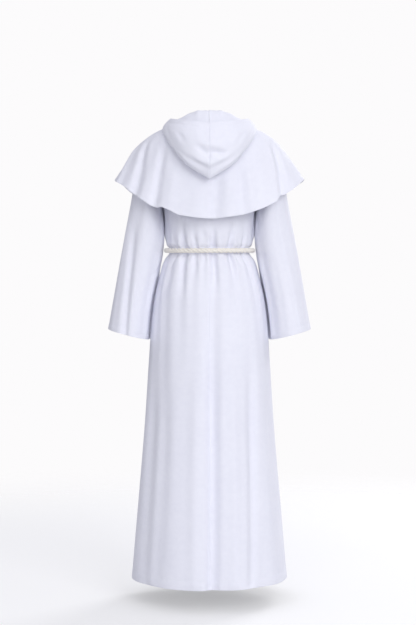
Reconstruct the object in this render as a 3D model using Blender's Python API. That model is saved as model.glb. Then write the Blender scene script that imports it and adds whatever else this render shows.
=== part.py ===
"""Long white hooded robe in its worn form, with a shoulder cape and a rope belt.

The front faces -Y, the back +Y and the wearer's left side +X. Heights are above the ground that the
wearer stands on. Each finished solid is lowered by MOUNT_HEIGHT, so the origin lies between the
shoulders, where the robe is carried.

Two kinds of angle are used, both in degrees. A turn runs round the body from the centre back (0) by the
left side (90) to the centre front (180), and is negative on the right side. A sleeve's angle runs round
the arm from its outer edge (0) by the back (90) to the underarm edge (180).
"""

import math

import bmesh
import bpy
import numpy as np

MM = 0.001

# Driving sizes in metres
MOUNT_HEIGHT = 1.430
WALL = 0.0020
SEAM_GAP = 0.0003
HEM_HEIGHT = 0.064
ARMPIT_HEIGHT = 1.235
SHOULDER_TIP = (0.178, 1.385)
ARMHOLE_DEPTH = 0.068
EGG_FULLNESS = 1.3
NECK_HALF_WIDTH = 0.078
NECK_BACK = 0.072
NECK_FRONT = 0.086
NECK_HEIGHT = 1.440
NECK_DROP = 0.042
CAPE_ON_NECK = 0.0029
HOOD_ON_CAPE = 0.0005
BELT_HEIGHT = 1.0545
ROPE_DIAMETER = 0.015
ROPE_CLEARANCE = 0.0006
SLEEVE_GAP = 0.0006

# Colours, linear red, green and blue
CLOTH_COLOUR = (0.80, 0.81, 0.93)
ROPE_COLOUR = (0.78, 0.73, 0.64)

# Robe below the armpits: height, half width, depth behind the middle, depth in front of it
BODY = (
    (0.064, 0.2358, 0.2050, 0.1900),
    (0.180, 0.2260, 0.1930, 0.1800),
    (0.360, 0.2103, 0.1755, 0.1645),
    (0.545, 0.1950, 0.1590, 0.1500),
    (0.725, 0.1832, 0.1450, 0.1375),
    (0.845, 0.1742, 0.1365, 0.1300),
    (0.920, 0.1645, 0.1295, 0.1235),
    (0.980, 0.1500, 0.1195, 0.1150),
    (1.011, 0.1418, 0.1130, 0.1095),
    (1.030, 0.1335, 0.1075, 0.1050),
    (1.040, 0.1260, 0.1025, 0.1020),
    (1.046, 0.1218, 0.1000, 0.1000),
    (1.063, 0.1218, 0.1000, 0.1000),
    (1.068, 0.1270, 0.1030, 0.1025),
    (1.076, 0.1298, 0.1055, 0.1045),
    (1.140, 0.1335, 0.1110, 0.1090),
    (1.180, 0.1375, 0.1150, 0.1125),
    (1.235, 0.1500, 0.1195, 0.1165),
)

# Gathers and long folds of the robe. The first three columns are the turn at the chest, belt and skirt.
# The next five are the inward depth in mm at the chest, belt, hip, knee and hem. The last two are the
# half width in degrees at the belt and at the hem.
FOLD_TURN_HEIGHTS = (1.140, 1.054, 0.800)
FOLD_DEPTH_HEIGHTS = (1.235, 1.140, 1.054, 0.900, 0.500, 0.064)
FOLDS = (
    (38, 36, 29, 3, 11, 5, 0, 0, 4.5, 9),
    (-3, -5, -9, 2, 11, 8, 8, 12, 4.5, 10),
    (-32, -28, -29, 3, 11, 5, 0, 0, 4.5, 9),
    (70, 72, 64, 2, 9, 5, 3, 1, 5.0, 9),
    (21, 19, 17, 1, 6, 2, 0, 0, 4.0, 6),
    (9, 7, 5, 0, 5, 1, 0, 0, 3.5, 6),
    (-50, -52, -58, 1, 6, 3, 1, 0, 4.5, 8),
    (-82, -80, -74, 1, 7, 4, 3, 2, 4.5, 9),
    (54, 54, 50, 0, 4, 5, 9, 8, 5.0, 12),
    (-44, -41, -40, 0, 3, 3, 9, 8, 4.0, 11),
    (102, 104, 108, 2, 9, 5, 3, 2, 5.0, 10),
    (118, 120, 124, 1, 7, 3, 0, 0, 4.5, 8),
    (132, 136, 140, 3, 10, 6, 8, 9, 4.5, 11),
    (150, 152, 156, 1, 7, 3, 0, 0, 4.5, 8),
    (168, 167, 170, 2, 10, 6, 7, 8, 4.5, 10),
    (-174, -176, -179, 1, 6, 2, 0, 0, 4.0, 7),
    (-158, -160, -163, 3, 10, 5, 3, 2, 4.5, 9),
    (-142, -144, -147, 1, 7, 3, 0, 0, 4.5, 8),
    (-128, -128, -130, 3, 10, 6, 9, 10, 4.5, 12),
    (-110, -112, -116, 1, 6, 2, 0, 0, 4.5, 8),
    (-98, -97, -96, 2, 8, 4, 2, 1, 5.0, 9),
)

# Centre line of the robe above the armpits: height, depth behind the middle
CENTRE_BACK = (
    (1.235, 0.1195),
    (1.300, 0.1190),
    (1.360, 0.1080),
    (1.410, 0.0890),
    (1.440, 0.0720),
)

# Centre line of the robe above the armpits: height, depth in front of the middle
CENTRE_FRONT = (
    (1.235, 0.1165),
    (1.290, 0.1170),
    (1.335, 0.1095),
    (1.370, 0.0970),
    (1.398, 0.0860),
)

# Left sleeve: place down the arm, outer edge x and height, underarm edge x and height, half depth,
# middle's distance behind the shoulder line. The first row is the armhole.
SLEEVE = (
    (0, 0.1780, 1.385, 0.1500, 1.235, 0.0680, 0.000),
    (1, 0.2035, 1.356, 0.1455, 1.200, 0.0710, 0.000),
    (2, 0.2200, 1.303, 0.1412, 1.150, 0.0730, 0.000),
    (3, 0.2300, 1.235, 0.1385, 1.095, 0.0745, -0.002),
    (4, 0.2425, 1.165, 0.1395, 1.050, 0.0760, -0.004),
    (5, 0.2577, 1.088, 0.1485, 1.006, 0.0785, -0.006),
    (6, 0.2722, 1.010, 0.1610, 0.955, 0.0820, -0.008),
    (7, 0.2860, 0.932, 0.1720, 0.903, 0.0860, -0.010),
    (8, 0.2975, 0.868, 0.1795, 0.843, 0.0895, -0.012),
    (9, 0.3065, 0.818, 0.1845, 0.786, 0.0925, -0.013),
)

# Long sleeve folds: side of the body (1 left, -1 right), angle at the elbow and cuff, inward depth in mm
# at the armhole, elbow and cuff, half width in degrees
SLEEVE_FOLD_PLACES = (0.0, 4.5, 9.0)
# Place from which a sleeve's rings are round, and no longer the armhole's shape
SLEEVE_ROUND_FROM = 3.0
SLEEVE_FOLDS = (
    (1, 70, 80, 0, 5, 5, 15),
    (1, 140, 128, 0, 5, 2, 16),
    (1, -75, -85, 0, 6, 4, 16),
    (1, -135, -125, 0, 3, 4, 15),
    (-1, 82, 72, 0, 3, 5, 15),
    (-1, 138, 132, 0, 5, 2, 15),
    (-1, -70, -78, 0, 5, 5, 16),
    (-1, -128, -136, 0, 4, 3, 15),
)

# Cape: place from neck (0) to hem (1), side x and height, back depth and height, front depth and height
CAPE = (
    (0.00, 0.0780, 1.4426, 0.0720, 1.4426, 0.0860, 1.4006),
    (0.12, 0.1100, 1.4335, 0.0960, 1.4300, 0.1070, 1.3900),
    (0.25, 0.1400, 1.4195, 0.1195, 1.4020, 0.1245, 1.3600),
    (0.38, 0.1700, 1.4045, 0.1350, 1.3650, 0.1340, 1.3200),
    (0.50, 0.2010, 1.3815, 0.1430, 1.3250, 0.1400, 1.2890),
    (0.62, 0.2245, 1.3550, 0.1475, 1.2790, 0.1445, 1.2560),
    (0.75, 0.2455, 1.3255, 0.1505, 1.2370, 0.1480, 1.2220),
    (0.88, 0.2655, 1.2970, 0.1535, 1.1920, 0.1510, 1.1880),
    (1.00, 0.2855, 1.2670, 0.1565, 1.1480, 0.1540, 1.1540),
)

# Soft folds of the cape: turn at the hem, inward depth in mm at the hem, half width in degrees, place
# where the fold begins
CAPE_FOLDS = (
    (43, 7, 8, 0.35),
    (27, 6, 6, 0.50),
    (-17, 5, 7, 0.55),
    (-46, 7, 8, 0.35),
    (68, 3, 7, 0.45),
    (-70, 3, 7, 0.45),
    (112, 5, 8, 0.40),
    (138, 7, 8, 0.35),
    (166, 5, 7, 0.50),
    (-120, 7, 9, 0.35),
    (-150, 6, 8, 0.45),
)

# Hood, laid down on the back. Each row is one cut through the cloth at a turn, read from the neck seam to
# the face edge, as distance out from the neck's middle and height in mm: the rolled top, the inner layer
# high and low, the bottom of the pouch, the outer layer low and high, and the face edge.
HOOD = (
    (0, 90, 1466, 124, 1416, 153, 1330, 173, 1263, 193, 1300, 195, 1365, 160, 1430),
    (20, 91, 1464, 124, 1421, 153, 1356, 174, 1299, 189, 1327, 188, 1380, 159, 1434),
    (40, 91, 1459, 120, 1433, 148, 1394, 169, 1354, 179, 1371, 173, 1405, 149, 1440),
    (60, 90, 1457, 110, 1444, 136, 1420, 157, 1398, 163, 1406, 152, 1425, 131, 1445),
    (90, 88, 1456, 99, 1449, 116, 1438, 131, 1426, 139, 1430, 129, 1440, 112, 1450),
    (120, 89, 1448, 99, 1442, 112, 1432, 125, 1419, 134, 1426, 127, 1439, 109, 1449),
    (150, 92, 1427, 100, 1420, 110, 1408, 121, 1396, 131, 1402, 125, 1416, 108, 1428),
    (180, 92, 1416, 100, 1409, 108, 1398, 118, 1386, 128, 1391, 123, 1406, 107, 1418),
)
# Points in each row of the hood, after the neck seam
HOOD_POINTS = 7

# Heights of the robe's rings below the armpits
BODY_RINGS = (
    0.064, 0.160, 0.280, 0.420, 0.560, 0.700, 0.810, 0.890, 0.950, 0.990,
    1.020, 1.036, 1.046, 1.063, 1.072, 1.100, 1.150, 1.195, 1.235,
)
YOKE_STEPS = 4
BODY_STEP = 5.0
NECK_STEPS = 8
SLEEVE_SIDES = 20
SLEEVE_STEPS = 12
CAPE_STEP = 7.5
CAPE_STEPS = 9
HOOD_TURNS = (0, 8, 16, 25, 35, 46, 58, 72, 88, 106, 125, 144, 162, 180)
HOOD_STEPS = 19
ROPE_STEP = 8.0

# Rope ends at the front: name, side, length, distance that the end drifts sideways
ROPE_ENDS = (
    ("left", 1, 0.370, 0.018),
    ("right", -1, 0.330, 0.012),
)
KNOT_SIZE = (0.0215, 0.0155, 0.0190)
TIP_SIZE = (0.0135, 0.0135, 0.0160)
# Share of a knot's width that its slanting swells take in and let out
KNOT_SWELL = 0.06
# Turn past which the belt lifts off the robe to meet the knot
KNOT_PULL_TURN = 145
# Distance from the skirt's plain form to a hanging end's middle line
ROPE_END_OFFSET = 0.0092
# Length over which a hanging end swings back from the knot to the skirt
ROPE_END_LEAN = 0.05
ROPE_ENDS_APART = 0.002
ROPE_END_STEP = 0.030


def smooth(table, column, at):
    """Read a column at the given values of the first column, on a curve that never overshoots its rows."""
    knots = np.array([row[0] for row in table], dtype=float)
    values = np.array([row[column] for row in table], dtype=float)
    if knots[0] > knots[-1]:
        knots = knots[::-1]
        values = values[::-1]
    gaps = np.diff(knots)
    rises = np.diff(values) / gaps
    slopes = np.zeros(len(knots))
    slopes[0] = rises[0]
    slopes[-1] = rises[-1]
    same_way = rises[:-1] * rises[1:] > 0
    total = np.where(same_way, rises[:-1] + rises[1:], 1.0)
    slopes[1:-1] = np.where(same_way, 2 * rises[:-1] * rises[1:] / total, 0.0)
    place = np.clip(np.asarray(at, dtype=float), knots[0], knots[-1])
    row = np.clip(np.searchsorted(knots, place) - 1, 0, len(gaps) - 1)
    gap = gaps[row]
    t = (place - knots[row]) / gap
    start = (1 + 2 * t) * (1 - t) ** 2 * values[row] + t * (1 - t) ** 2 * gap * slopes[row]
    end = t * t * (3 - 2 * t) * values[row + 1] + t * t * (t - 1) * gap * slopes[row + 1]
    return start + end


def away(angle, middle):
    """Signed angle in degrees from a fold's middle, the short way round."""
    return (angle - middle + 180.0) % 360.0 - 180.0


def robe_fold(turn, height):
    """Inward depth of the robe's gathers and folds at a turn and height."""
    depth = np.zeros(np.broadcast(turn, height).shape)
    for fold in FOLDS:
        middle = smooth(tuple(zip(FOLD_TURN_HEIGHTS, fold[:3])), 1, height)
        deep = smooth(tuple(zip(FOLD_DEPTH_HEIGHTS, (0,) + fold[3:8])), 1, height)
        wide = np.interp(height, (HEM_HEIGHT, 0.5, BELT_HEIGHT), (fold[9], fold[9], fold[8]))
        depth = depth + deep * MM * np.exp(-((away(turn, middle) / wide) ** 2))
    return depth


def robe_point(turn, height):
    """Point on the robe's outside below the armpits."""
    sine = np.sin(np.radians(turn))
    cosine = np.cos(np.radians(turn))
    width = smooth(BODY, 1, height)
    depth = np.where(cosine > 0, smooth(BODY, 2, height), smooth(BODY, 3, height))
    out_x = sine / width
    out_y = cosine / depth
    inward = robe_fold(turn, height) / np.hypot(out_x, out_y)
    x = width * sine - inward * out_x
    y = depth * cosine - inward * out_y
    return np.stack((x, y, height + 0 * x), axis=-1)


def neck_height(y):
    """Height of the neckline, which drops towards the front."""
    return NECK_HEIGHT - NECK_DROP * np.clip(-y / NECK_FRONT, 0, 1) ** 2


def neck_point(turn):
    """Point on the robe's neckline."""
    sine = np.sin(np.radians(turn))
    cosine = np.cos(np.radians(turn))
    y = np.where(cosine > 0, NECK_BACK, NECK_FRONT) * cosine
    return np.stack((NECK_HALF_WIDTH * sine, y, neck_height(y)), axis=-1)


def armhole_frame():
    """Middle of the left armhole, its half height as a vector, and its outward normal."""
    tip = np.array((SHOULDER_TIP[0], 0, SHOULDER_TIP[1]))
    pit = robe_point(np.array(90.0), np.array(ARMPIT_HEIGHT))
    pit[1] = 0
    up = (tip - pit) / 2
    out = np.cross((0, 1, 0), up)
    return (tip + pit) / 2, up, out / np.linalg.norm(out)


def armhole_shape(angle):
    """Share of the armhole's depth at an angle round it: an egg whose point is at the armpit."""
    return EGG_FULLNESS * np.sin(np.radians(angle)) * np.cos(np.radians(away(angle, 0) / 2))


def armhole_point(angle):
    """Point on the left armhole, from the shoulder tip (0) by the back (90) to the armpit (180)."""
    middle, up, _ = armhole_frame()
    along = np.cos(np.radians(angle))[..., None] * up
    across = armhole_shape(angle)[..., None] * np.array((0, ARMHOLE_DEPTH, 0))
    return middle + along + across


def patch(bottom, top, start, end):
    """Surface between four edges that share corners. The side edges' bows fade towards its middle."""
    u = np.linspace(0, 1, len(bottom))[None, :, None]
    v = np.linspace(0, 1, len(start))[:, None, None]
    start_bow = start[:, None] - (1 - v) * bottom[0] - v * top[0]
    end_bow = end[:, None] - (1 - v) * bottom[-1] - v * top[-1]
    return (1 - v) * bottom[None] + v * top[None] + (1 - u) ** 2 * start_bow + u * u * end_bow


def yoke(behind):
    """Left half of the robe above the armpits, from the centre line to the armhole."""
    table = CENTRE_BACK if behind else CENTRE_FRONT
    away_from_front = 1 if behind else -1
    quarter = np.linspace(0, 90, round(90 / BODY_STEP) + 1)
    turns = quarter if behind else 180 - quarter
    bottom = robe_point(turns, np.full(len(turns), ARMPIT_HEIGHT))
    neck = neck_point(np.linspace(turns[0], 90, NECK_STEPS + 1))
    tip = np.array((SHOULDER_TIP[0], 0, SHOULDER_TIP[1]))
    share = np.linspace(0, 1, len(turns) - NECK_STEPS)[1:, None]
    shoulder = neck[-1] + share * (tip - neck[-1])
    heights = np.linspace(ARMPIT_HEIGHT, table[-1][0], YOKE_STEPS + 1)
    centre = np.stack((0 * heights, away_from_front * smooth(table, 1, heights), heights), axis=-1)
    centre[0] = bottom[0]
    armhole = armhole_point(away_from_front * np.linspace(180, 0, YOKE_STEPS + 1))
    return patch(bottom, np.concatenate((neck, shoulder)), centre, armhole)


def robe_half(behind, side):
    """Half of the robe's outside, back or front, in the left side's place, from hem to shoulder."""
    quarter = np.linspace(0, 90, round(90 / BODY_STEP) + 1)
    turns = quarter if behind else 180 - quarter
    turns, heights = np.meshgrid(side * turns, np.array(BODY_RINGS))
    below = robe_point(turns, heights)
    below[..., 0] *= side
    above = yoke(behind)
    above[0] = below[-1]
    return np.concatenate((below, above[1:]))


def sleeve_point(place, angle, side):
    """Point on a sleeve's outside, in the left side's place."""
    cosine = np.cos(np.radians(angle))
    sine = np.sin(np.radians(angle))
    outer = np.stack((smooth(SLEEVE, 1, place), 0 * place, smooth(SLEEVE, 2, place)), axis=-1)
    under = np.stack((smooth(SLEEVE, 3, place), 0 * place, smooth(SLEEVE, 4, place)), axis=-1)
    depth = smooth(SLEEVE, 5, place)
    inward = 0 * place
    for fold in SLEEVE_FOLDS:
        if fold[0] != side:
            continue
        middle = np.interp(place, SLEEVE_FOLD_PLACES[1:], fold[1:3])
        deep = smooth(tuple(zip(SLEEVE_FOLD_PLACES, fold[3:6])), 1, place)
        inward = inward + deep * MM * np.exp(-((away(angle, middle) / fold[6]) ** 2))
    share = 1 - inward / depth
    middle = (outer + under) / 2
    spread = (outer - under) / 2
    point = middle + (share * cosine)[..., None] * spread
    near_armhole = np.clip(1 - place / SLEEVE_ROUND_FROM, 0, 1)
    shape = near_armhole * armhole_shape(angle) + (1 - near_armhole) * sine
    point[..., 1] = smooth(SLEEVE, 6, place) + depth * shape * share
    return point


def cape_point(turn, place):
    """Point on the cape's outside, from neck (0) to hem (1)."""
    sine = np.sin(np.radians(turn))
    cosine = np.cos(np.radians(turn))
    behind = cosine > 0
    width = smooth(CAPE, 1, place)
    depth = np.where(behind, smooth(CAPE, 3, place), smooth(CAPE, 5, place))
    side_height = smooth(CAPE, 2, place)
    end_height = np.where(behind, smooth(CAPE, 4, place), smooth(CAPE, 6, place))
    inward = np.zeros(np.broadcast(turn, place).shape)
    for middle, deep, wide, begins in CAPE_FOLDS:
        share = np.clip((place - begins) / (1 - begins), 0, 1)
        grown = share * share * (3 - 2 * share)
        inward = inward + deep * MM * grown * np.exp(-((away(turn, middle) / wide) ** 2))
    length = np.hypot(sine / width, cosine / depth)
    x = width * sine - inward * sine / width / length
    y = depth * cosine - inward * cosine / depth / length
    z = side_height + (end_height - side_height) * cosine ** 2
    return np.stack((x, y, z), axis=-1)


def hood_point(turn, place):
    """Point on the hood's outside, from the neck seam (0) to the face edge (HOOD_POINTS)."""
    sine = np.sin(np.radians(turn))
    cosine = np.cos(np.radians(turn))
    neck_depth = np.where(cosine > 0, NECK_BACK, NECK_FRONT)
    neck = 1 / np.hypot(sine / NECK_HALF_WIDTH, cosine / neck_depth)
    outs = [neck + WALL]
    heights = [neck_height(neck * cosine) + CAPE_ON_NECK + HOOD_ON_CAPE]
    for point in range(HOOD_POINTS):
        outs.append(smooth(HOOD, 1 + 2 * point, turn) * MM)
        heights.append(smooth(HOOD, 2 + 2 * point, turn) * MM)
    out = curve_through(outs, place)
    height = curve_through(heights, place)
    return np.stack((out * sine, out * cosine, height), axis=-1)


def curve_through(values, place):
    """Value at a place on a rounded curve through the given values, one apart."""
    values = [2 * values[0] - values[1]] + list(values) + [2 * values[-1] - values[-2]]
    values = np.stack([value + 0 * place for value in values])
    row = np.clip(np.floor(place).astype(int), 0, len(values) - 4)
    t = place - row
    before, start, end, after = (
        np.take_along_axis(values, (row + step)[None], axis=0)[0] for step in range(4)
    )
    pull = (end - before) / 2
    push = (after - start) / 2
    first = (2 * t ** 3 - 3 * t ** 2 + 1) * start + (t ** 3 - 2 * t ** 2 + t) * pull
    last = (3 * t ** 2 - 2 * t ** 3) * end + (t ** 3 - t ** 2) * push
    return first + last


def outward(grid, closed=False):
    """Unit normals of a grid of points whose rows run up and whose columns run from back to side."""
    rows = np.gradient(grid, axis=0)
    if closed:
        columns = (np.roll(grid, -1, axis=1) - np.roll(grid, 1, axis=1)) / 2
    else:
        columns = np.gradient(grid, axis=1)
    return unit(np.cross(rows, columns))


def unit(vectors):
    """The vectors at length one."""
    return vectors / np.linalg.norm(vectors, axis=-1, keepdims=True)


def wall_faces(rows, columns, closed):
    """Faces of a wall whose outer points come first and whose inner points follow in the same order."""
    faces = []
    inner = rows * columns
    ends = columns if closed else columns - 1
    for row in range(rows - 1):
        for column in range(ends):
            after = (column + 1) % columns
            a = row * columns + column
            b = row * columns + after
            c = (row + 1) * columns + after
            d = (row + 1) * columns + column
            faces.append((a, b, c, d))
            faces.append((inner + d, inner + c, inner + b, inner + a))
    for row, turned in ((0, False), (rows - 1, True)):
        for column in range(ends):
            a = row * columns + column
            b = row * columns + (column + 1) % columns
            rim = (b, a, inner + a, inner + b)
            faces.append(rim[::-1] if turned else rim)
    if not closed:
        for column, turned in ((0, False), (columns - 1, True)):
            for row in range(rows - 1):
                a = row * columns + column
                b = (row + 1) * columns + column
                rim = (a, b, inner + b, inner + a)
                faces.append(rim[::-1] if turned else rim)
    return faces


def finish(name, points, faces, colour):
    """Make one closed body from points and faces, lowered to the robe's own origin."""
    mesh = bpy.data.meshes.new(name)
    lowered = np.asarray(points) - np.array((0, 0, MOUNT_HEIGHT))
    mesh.from_pydata(lowered.tolist(), [], faces)
    body = bmesh.new()
    body.from_mesh(mesh)
    bmesh.ops.triangulate(body, faces=body.faces)
    bmesh.ops.recalc_face_normals(body, faces=body.faces)
    body.to_mesh(mesh)
    body.free()
    mesh.shade_smooth()
    mesh.materials.append(material(name, colour))
    piece = bpy.data.objects.new(name, mesh)
    bpy.context.collection.objects.link(piece)
    return piece


def material(name, colour):
    """Matt cloth or rope in a flat colour."""
    made = bpy.data.materials.new(name)
    made.use_nodes = True
    shader = made.node_tree.nodes["Principled BSDF"]
    shader.inputs["Base Color"].default_value = (*colour, 1)
    shader.inputs["Roughness"].default_value = 0.9
    shader.inputs["Metallic"].default_value = 0
    return made


def cloth(name, outside, normals, side=1, closed=False):
    """A wall of cloth inside a grid of outer points, mirrored to its side of the body."""
    inside = outside - WALL * normals
    points = np.concatenate((outside.reshape(-1, 3), inside.reshape(-1, 3)))
    points = points * np.array((side, 1, 1))
    rows, columns = outside.shape[:2]
    return finish(name, points, wall_faces(rows, columns, closed), CLOTH_COLOUR)


def level_seams(normals, rows_below):
    """Turn a panel's edge normals into its seams' planes, so that its neighbours' edges stay parallel."""
    _, _, out = armhole_frame()
    normals[:, 0, 0] = 0
    normals[:rows_below, -1, 1] = 0
    normals[-1, NECK_STEPS:, 1] = 0
    leans = np.minimum(normals[rows_below:, -1] @ out, 0)
    normals[rows_below:, -1] -= leans[:, None] * out
    return unit(normals)


def make_back(side, name):
    """One back panel, from the centre back seam to the side seam and armhole."""
    outside = robe_half(True, side)
    normals = level_seams(outward(outside), len(BODY_RINGS))
    outside = outside + np.array((SEAM_GAP / 2, SEAM_GAP / 2, 0))
    cloth(name, outside, normals, side)


def make_front():
    """The front panel, in one piece from side seam to side seam."""
    halves = []
    for side in (1, -1):
        outside = robe_half(False, side)
        normals = level_seams(-outward(outside), len(BODY_RINGS))
        outside = outside - np.array((0, SEAM_GAP / 2, 0))
        halves.append((outside * np.array((side, 1, 1)), normals * np.array((side, 1, 1))))
    (left, left_normals), (right, right_normals) = halves
    outside = np.concatenate((left[:, ::-1], right[:, 1:]), axis=1)
    normals = np.concatenate((left_normals[:, ::-1], right_normals[:, 1:]), axis=1)
    cloth("robe_front", outside, normals)


def make_sleeve(side, name):
    """A bell sleeve, set to the armhole across the seam gap."""
    _, _, out = armhole_frame()
    places = np.linspace(SLEEVE[0][0], SLEEVE[-1][0], SLEEVE_STEPS + 1)
    angles = np.arange(SLEEVE_SIDES) * 360 / SLEEVE_SIDES
    angles, places = np.meshgrid(angles, places)
    outside = sleeve_point(places, angles, side)
    normals = outward(outside, closed=True)
    leans = np.maximum(normals[0] @ out, 0)
    normals[0] -= leans[:, None] * out
    outside = outside + SLEEVE_GAP * out
    cloth(name, outside, unit(normals), side, closed=True)


def make_cape(side, name):
    """Half of the shoulder cape, from the centre back seam to the centre front seam."""
    turns = np.linspace(0, 180, round(180 / CAPE_STEP) + 1)
    places = np.linspace(1, 0, CAPE_STEPS + 1)
    turns, places = np.meshgrid(side * turns, places)
    outside = cape_point(turns, places) * np.array((side, 1, 1))
    normals = outward(outside)
    normals[:, (0, -1), 0] = 0
    outside = outside + np.array((SEAM_GAP / 2, 0, 0))
    cloth(name, outside, unit(normals), side)


def make_hood(side, name):
    """Half of the hood, from its middle seam behind to the throat."""
    places = np.linspace(0, HOOD_POINTS, HOOD_STEPS + 1)
    turns, places = np.meshgrid(np.array(HOOD_TURNS, dtype=float), places)
    outside = hood_point(turns, places)
    normals = outward(outside)
    normals[:, (0, -1), 0] = 0
    outside = outside + np.array((SEAM_GAP / 2, 0, 0))
    cloth(name, outside, unit(normals), side)


def make_rope(name, route):
    """A round rope along a route of points."""
    curve = bpy.data.curves.new(name, "CURVE")
    curve.dimensions = "3D"
    curve.bevel_depth = ROPE_DIAMETER / 2
    curve.bevel_resolution = 2
    curve.use_fill_caps = True
    spline = curve.splines.new("POLY")
    spline.points.add(len(route) - 1)
    for point, (x, y, z) in zip(spline.points, route):
        point.co = (x, y, z - MOUNT_HEIGHT, 1)
    curve.materials.append(material(name, ROPE_COLOUR))
    rope = bpy.data.objects.new(name, curve)
    bpy.context.collection.objects.link(rope)
    return rope


def rope_reach():
    """Distance of the belt's middle line outside the gathered waist."""
    return ROPE_DIAMETER / 2 + ROPE_CLEARANCE


def make_belt():
    """The rope round the waist, open at the front where the knot sits."""
    width = smooth(BODY, 1, BELT_HEIGHT) + rope_reach()
    depth = smooth(BODY, 2, BELT_HEIGHT) + rope_reach()
    last = 180 - math.degrees(math.asin((KNOT_SIZE[0] + SEAM_GAP) / width))
    route = []
    for turn in np.linspace(-last, last, round(2 * last / ROPE_STEP) + 1):
        share = max(0.0, (abs(turn) - KNOT_PULL_TURN) / (last - KNOT_PULL_TURN))
        pull = share * share * (3 - 2 * share)
        y = depth * math.cos(math.radians(turn))
        route.append((width * math.sin(math.radians(turn)), y + pull * (knot_middle()[1] - y), BELT_HEIGHT))
    make_rope("belt_loop", route)


def rounded_lump(name, middle, size):
    """A knot's closed outer form, with the turns of the rope as slanting swells."""
    ball = bmesh.new()
    bmesh.ops.create_uvsphere(ball, u_segments=16, v_segments=10, radius=1)
    points = []
    for vert in ball.verts:
        x, y, z = vert.co
        swell = 1 - KNOT_SWELL * (1 - math.cos(2 * math.atan2(y, x) + 5 * z)) * (1 - z * z)
        points.append(np.array(middle) + np.array(size) * (x * swell, y * swell, z))
    faces = [[vert.index for vert in face.verts] for face in ball.faces]
    ball.free()
    finish(name, points, faces, ROPE_COLOUR)


def knot_middle():
    """Middle of the knot at the front of the belt."""
    depth = smooth(BODY, 3, BELT_HEIGHT) + ROPE_CLEARANCE + KNOT_SIZE[1]
    return (0.0, -float(depth), BELT_HEIGHT)


def rope_end_route(side, length, drift):
    """Route of a hanging rope end, down from the knot and along the skirt's front."""
    middle = knot_middle()
    top = BELT_HEIGHT - KNOT_SIZE[2] - SEAM_GAP
    route = []
    for share in np.linspace(0, 1, round(length / ROPE_END_STEP) + 1):
        height = top - share * length
        skirt = -float(smooth(BODY, 3, height)) - ROPE_END_OFFSET
        lean = min(1.0, share * length / ROPE_END_LEAN)
        x = side * ((ROPE_DIAMETER + ROPE_ENDS_APART) / 2 + drift * share)
        route.append((x, min(middle[1] * (1 - lean) + skirt * lean, skirt), height))
    return route


def make_rope_ends():
    """The two hanging ends of the belt, each with a knot at its tip."""
    for name, side, length, drift in ROPE_ENDS:
        route = rope_end_route(side, length, drift)
        make_rope("belt_end_" + name, route)
        x, y, z = route[-1]
        tip = (x, y - TIP_SIZE[1] + ROPE_DIAMETER / 2, z - TIP_SIZE[2] - SEAM_GAP)
        rounded_lump("belt_tip_" + name, tip, TIP_SIZE)


def main():
    """Build every piece of the robe."""
    for old in list(bpy.data.objects):
        bpy.data.objects.remove(old, do_unlink=True)
    for side, name in ((1, "left"), (-1, "right")):
        make_back(side, "robe_back_" + name)
        make_sleeve(side, "sleeve_" + name)
        make_cape(side, "cape_" + name)
        make_hood(side, "hood_" + name)
    make_front()
    make_belt()
    rounded_lump("belt_knot", knot_middle(), KNOT_SIZE)
    make_rope_ends()


main()
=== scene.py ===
"""Looks of the long white hooded robe: its cloth, hems, seams, stitches, rope belt and studio light.

The front faces -Y, the back +Y and the wearer's left side +X. Heights in the tables are above the ground
that the wearer stands on, and every finished mesh is lowered by MOUNT_HEIGHT into the frame.

Two kinds of angle are used, both in degrees. A turn runs round the body from the centre back (0) by the
left side (90) to the centre front (180), and is negative on the right side. A sleeve's angle runs round
the arm from its outer edge (0) by the back (90) to the underarm edge (180).
"""

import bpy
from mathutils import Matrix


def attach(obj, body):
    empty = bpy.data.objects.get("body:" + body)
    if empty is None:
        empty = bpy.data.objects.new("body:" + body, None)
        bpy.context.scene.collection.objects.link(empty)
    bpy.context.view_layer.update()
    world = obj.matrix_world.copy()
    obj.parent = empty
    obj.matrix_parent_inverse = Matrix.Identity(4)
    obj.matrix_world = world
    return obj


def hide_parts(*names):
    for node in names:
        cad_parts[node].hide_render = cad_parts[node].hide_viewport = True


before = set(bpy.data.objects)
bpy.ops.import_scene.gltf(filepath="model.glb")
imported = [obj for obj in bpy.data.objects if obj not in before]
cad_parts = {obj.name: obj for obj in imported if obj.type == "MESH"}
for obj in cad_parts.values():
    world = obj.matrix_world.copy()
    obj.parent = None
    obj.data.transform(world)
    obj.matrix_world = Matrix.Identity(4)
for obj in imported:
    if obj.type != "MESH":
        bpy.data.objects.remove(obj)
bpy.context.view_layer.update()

import math

import bpy
import numpy as np

MM = 0.001

# Driving sizes of the robe, as its solids have them
MOUNT_HEIGHT = 1.430
SOLID_WALL = 0.0020
SEAM_GAP = 0.0003
SLEEVE_GAP = 0.0006
HEM_HEIGHT = 0.064
ARMPIT_HEIGHT = 1.235
SHOULDER_TIP = (0.178, 1.385)
ARMHOLE_DEPTH = 0.068
EGG_FULLNESS = 1.3
NECK_HALF_WIDTH = 0.078
NECK_BACK = 0.072
NECK_FRONT = 0.086
NECK_HEIGHT = 1.440
NECK_DROP = 0.042
# Turn below which a column of the robe ends at the neckline, and past which it ends at the shoulder
NECK_COLUMN_TURN = 40
CAPE_ON_NECK = 0.0029
HOOD_ON_CAPE = 0.0005
BELT_HEIGHT = 1.0545
ROPE_DIAMETER = 0.015
ROPE_CLEARANCE = 0.0006

# Finer sizes of the sewing
CLOTH = 0.0011
HEM_FOLD = 0.0006
ROBE_HEM = 0.025
CUFF_HEM = 0.015
HOOD_HEM = 0.015
CAPE_HEM = 0.007
CLOTH_GAP = 0.00006
SEAM_DIP = 0.00030
HOOD_SEAM_DIP = 0.0010
SEAM_REACH = 0.0020
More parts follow.
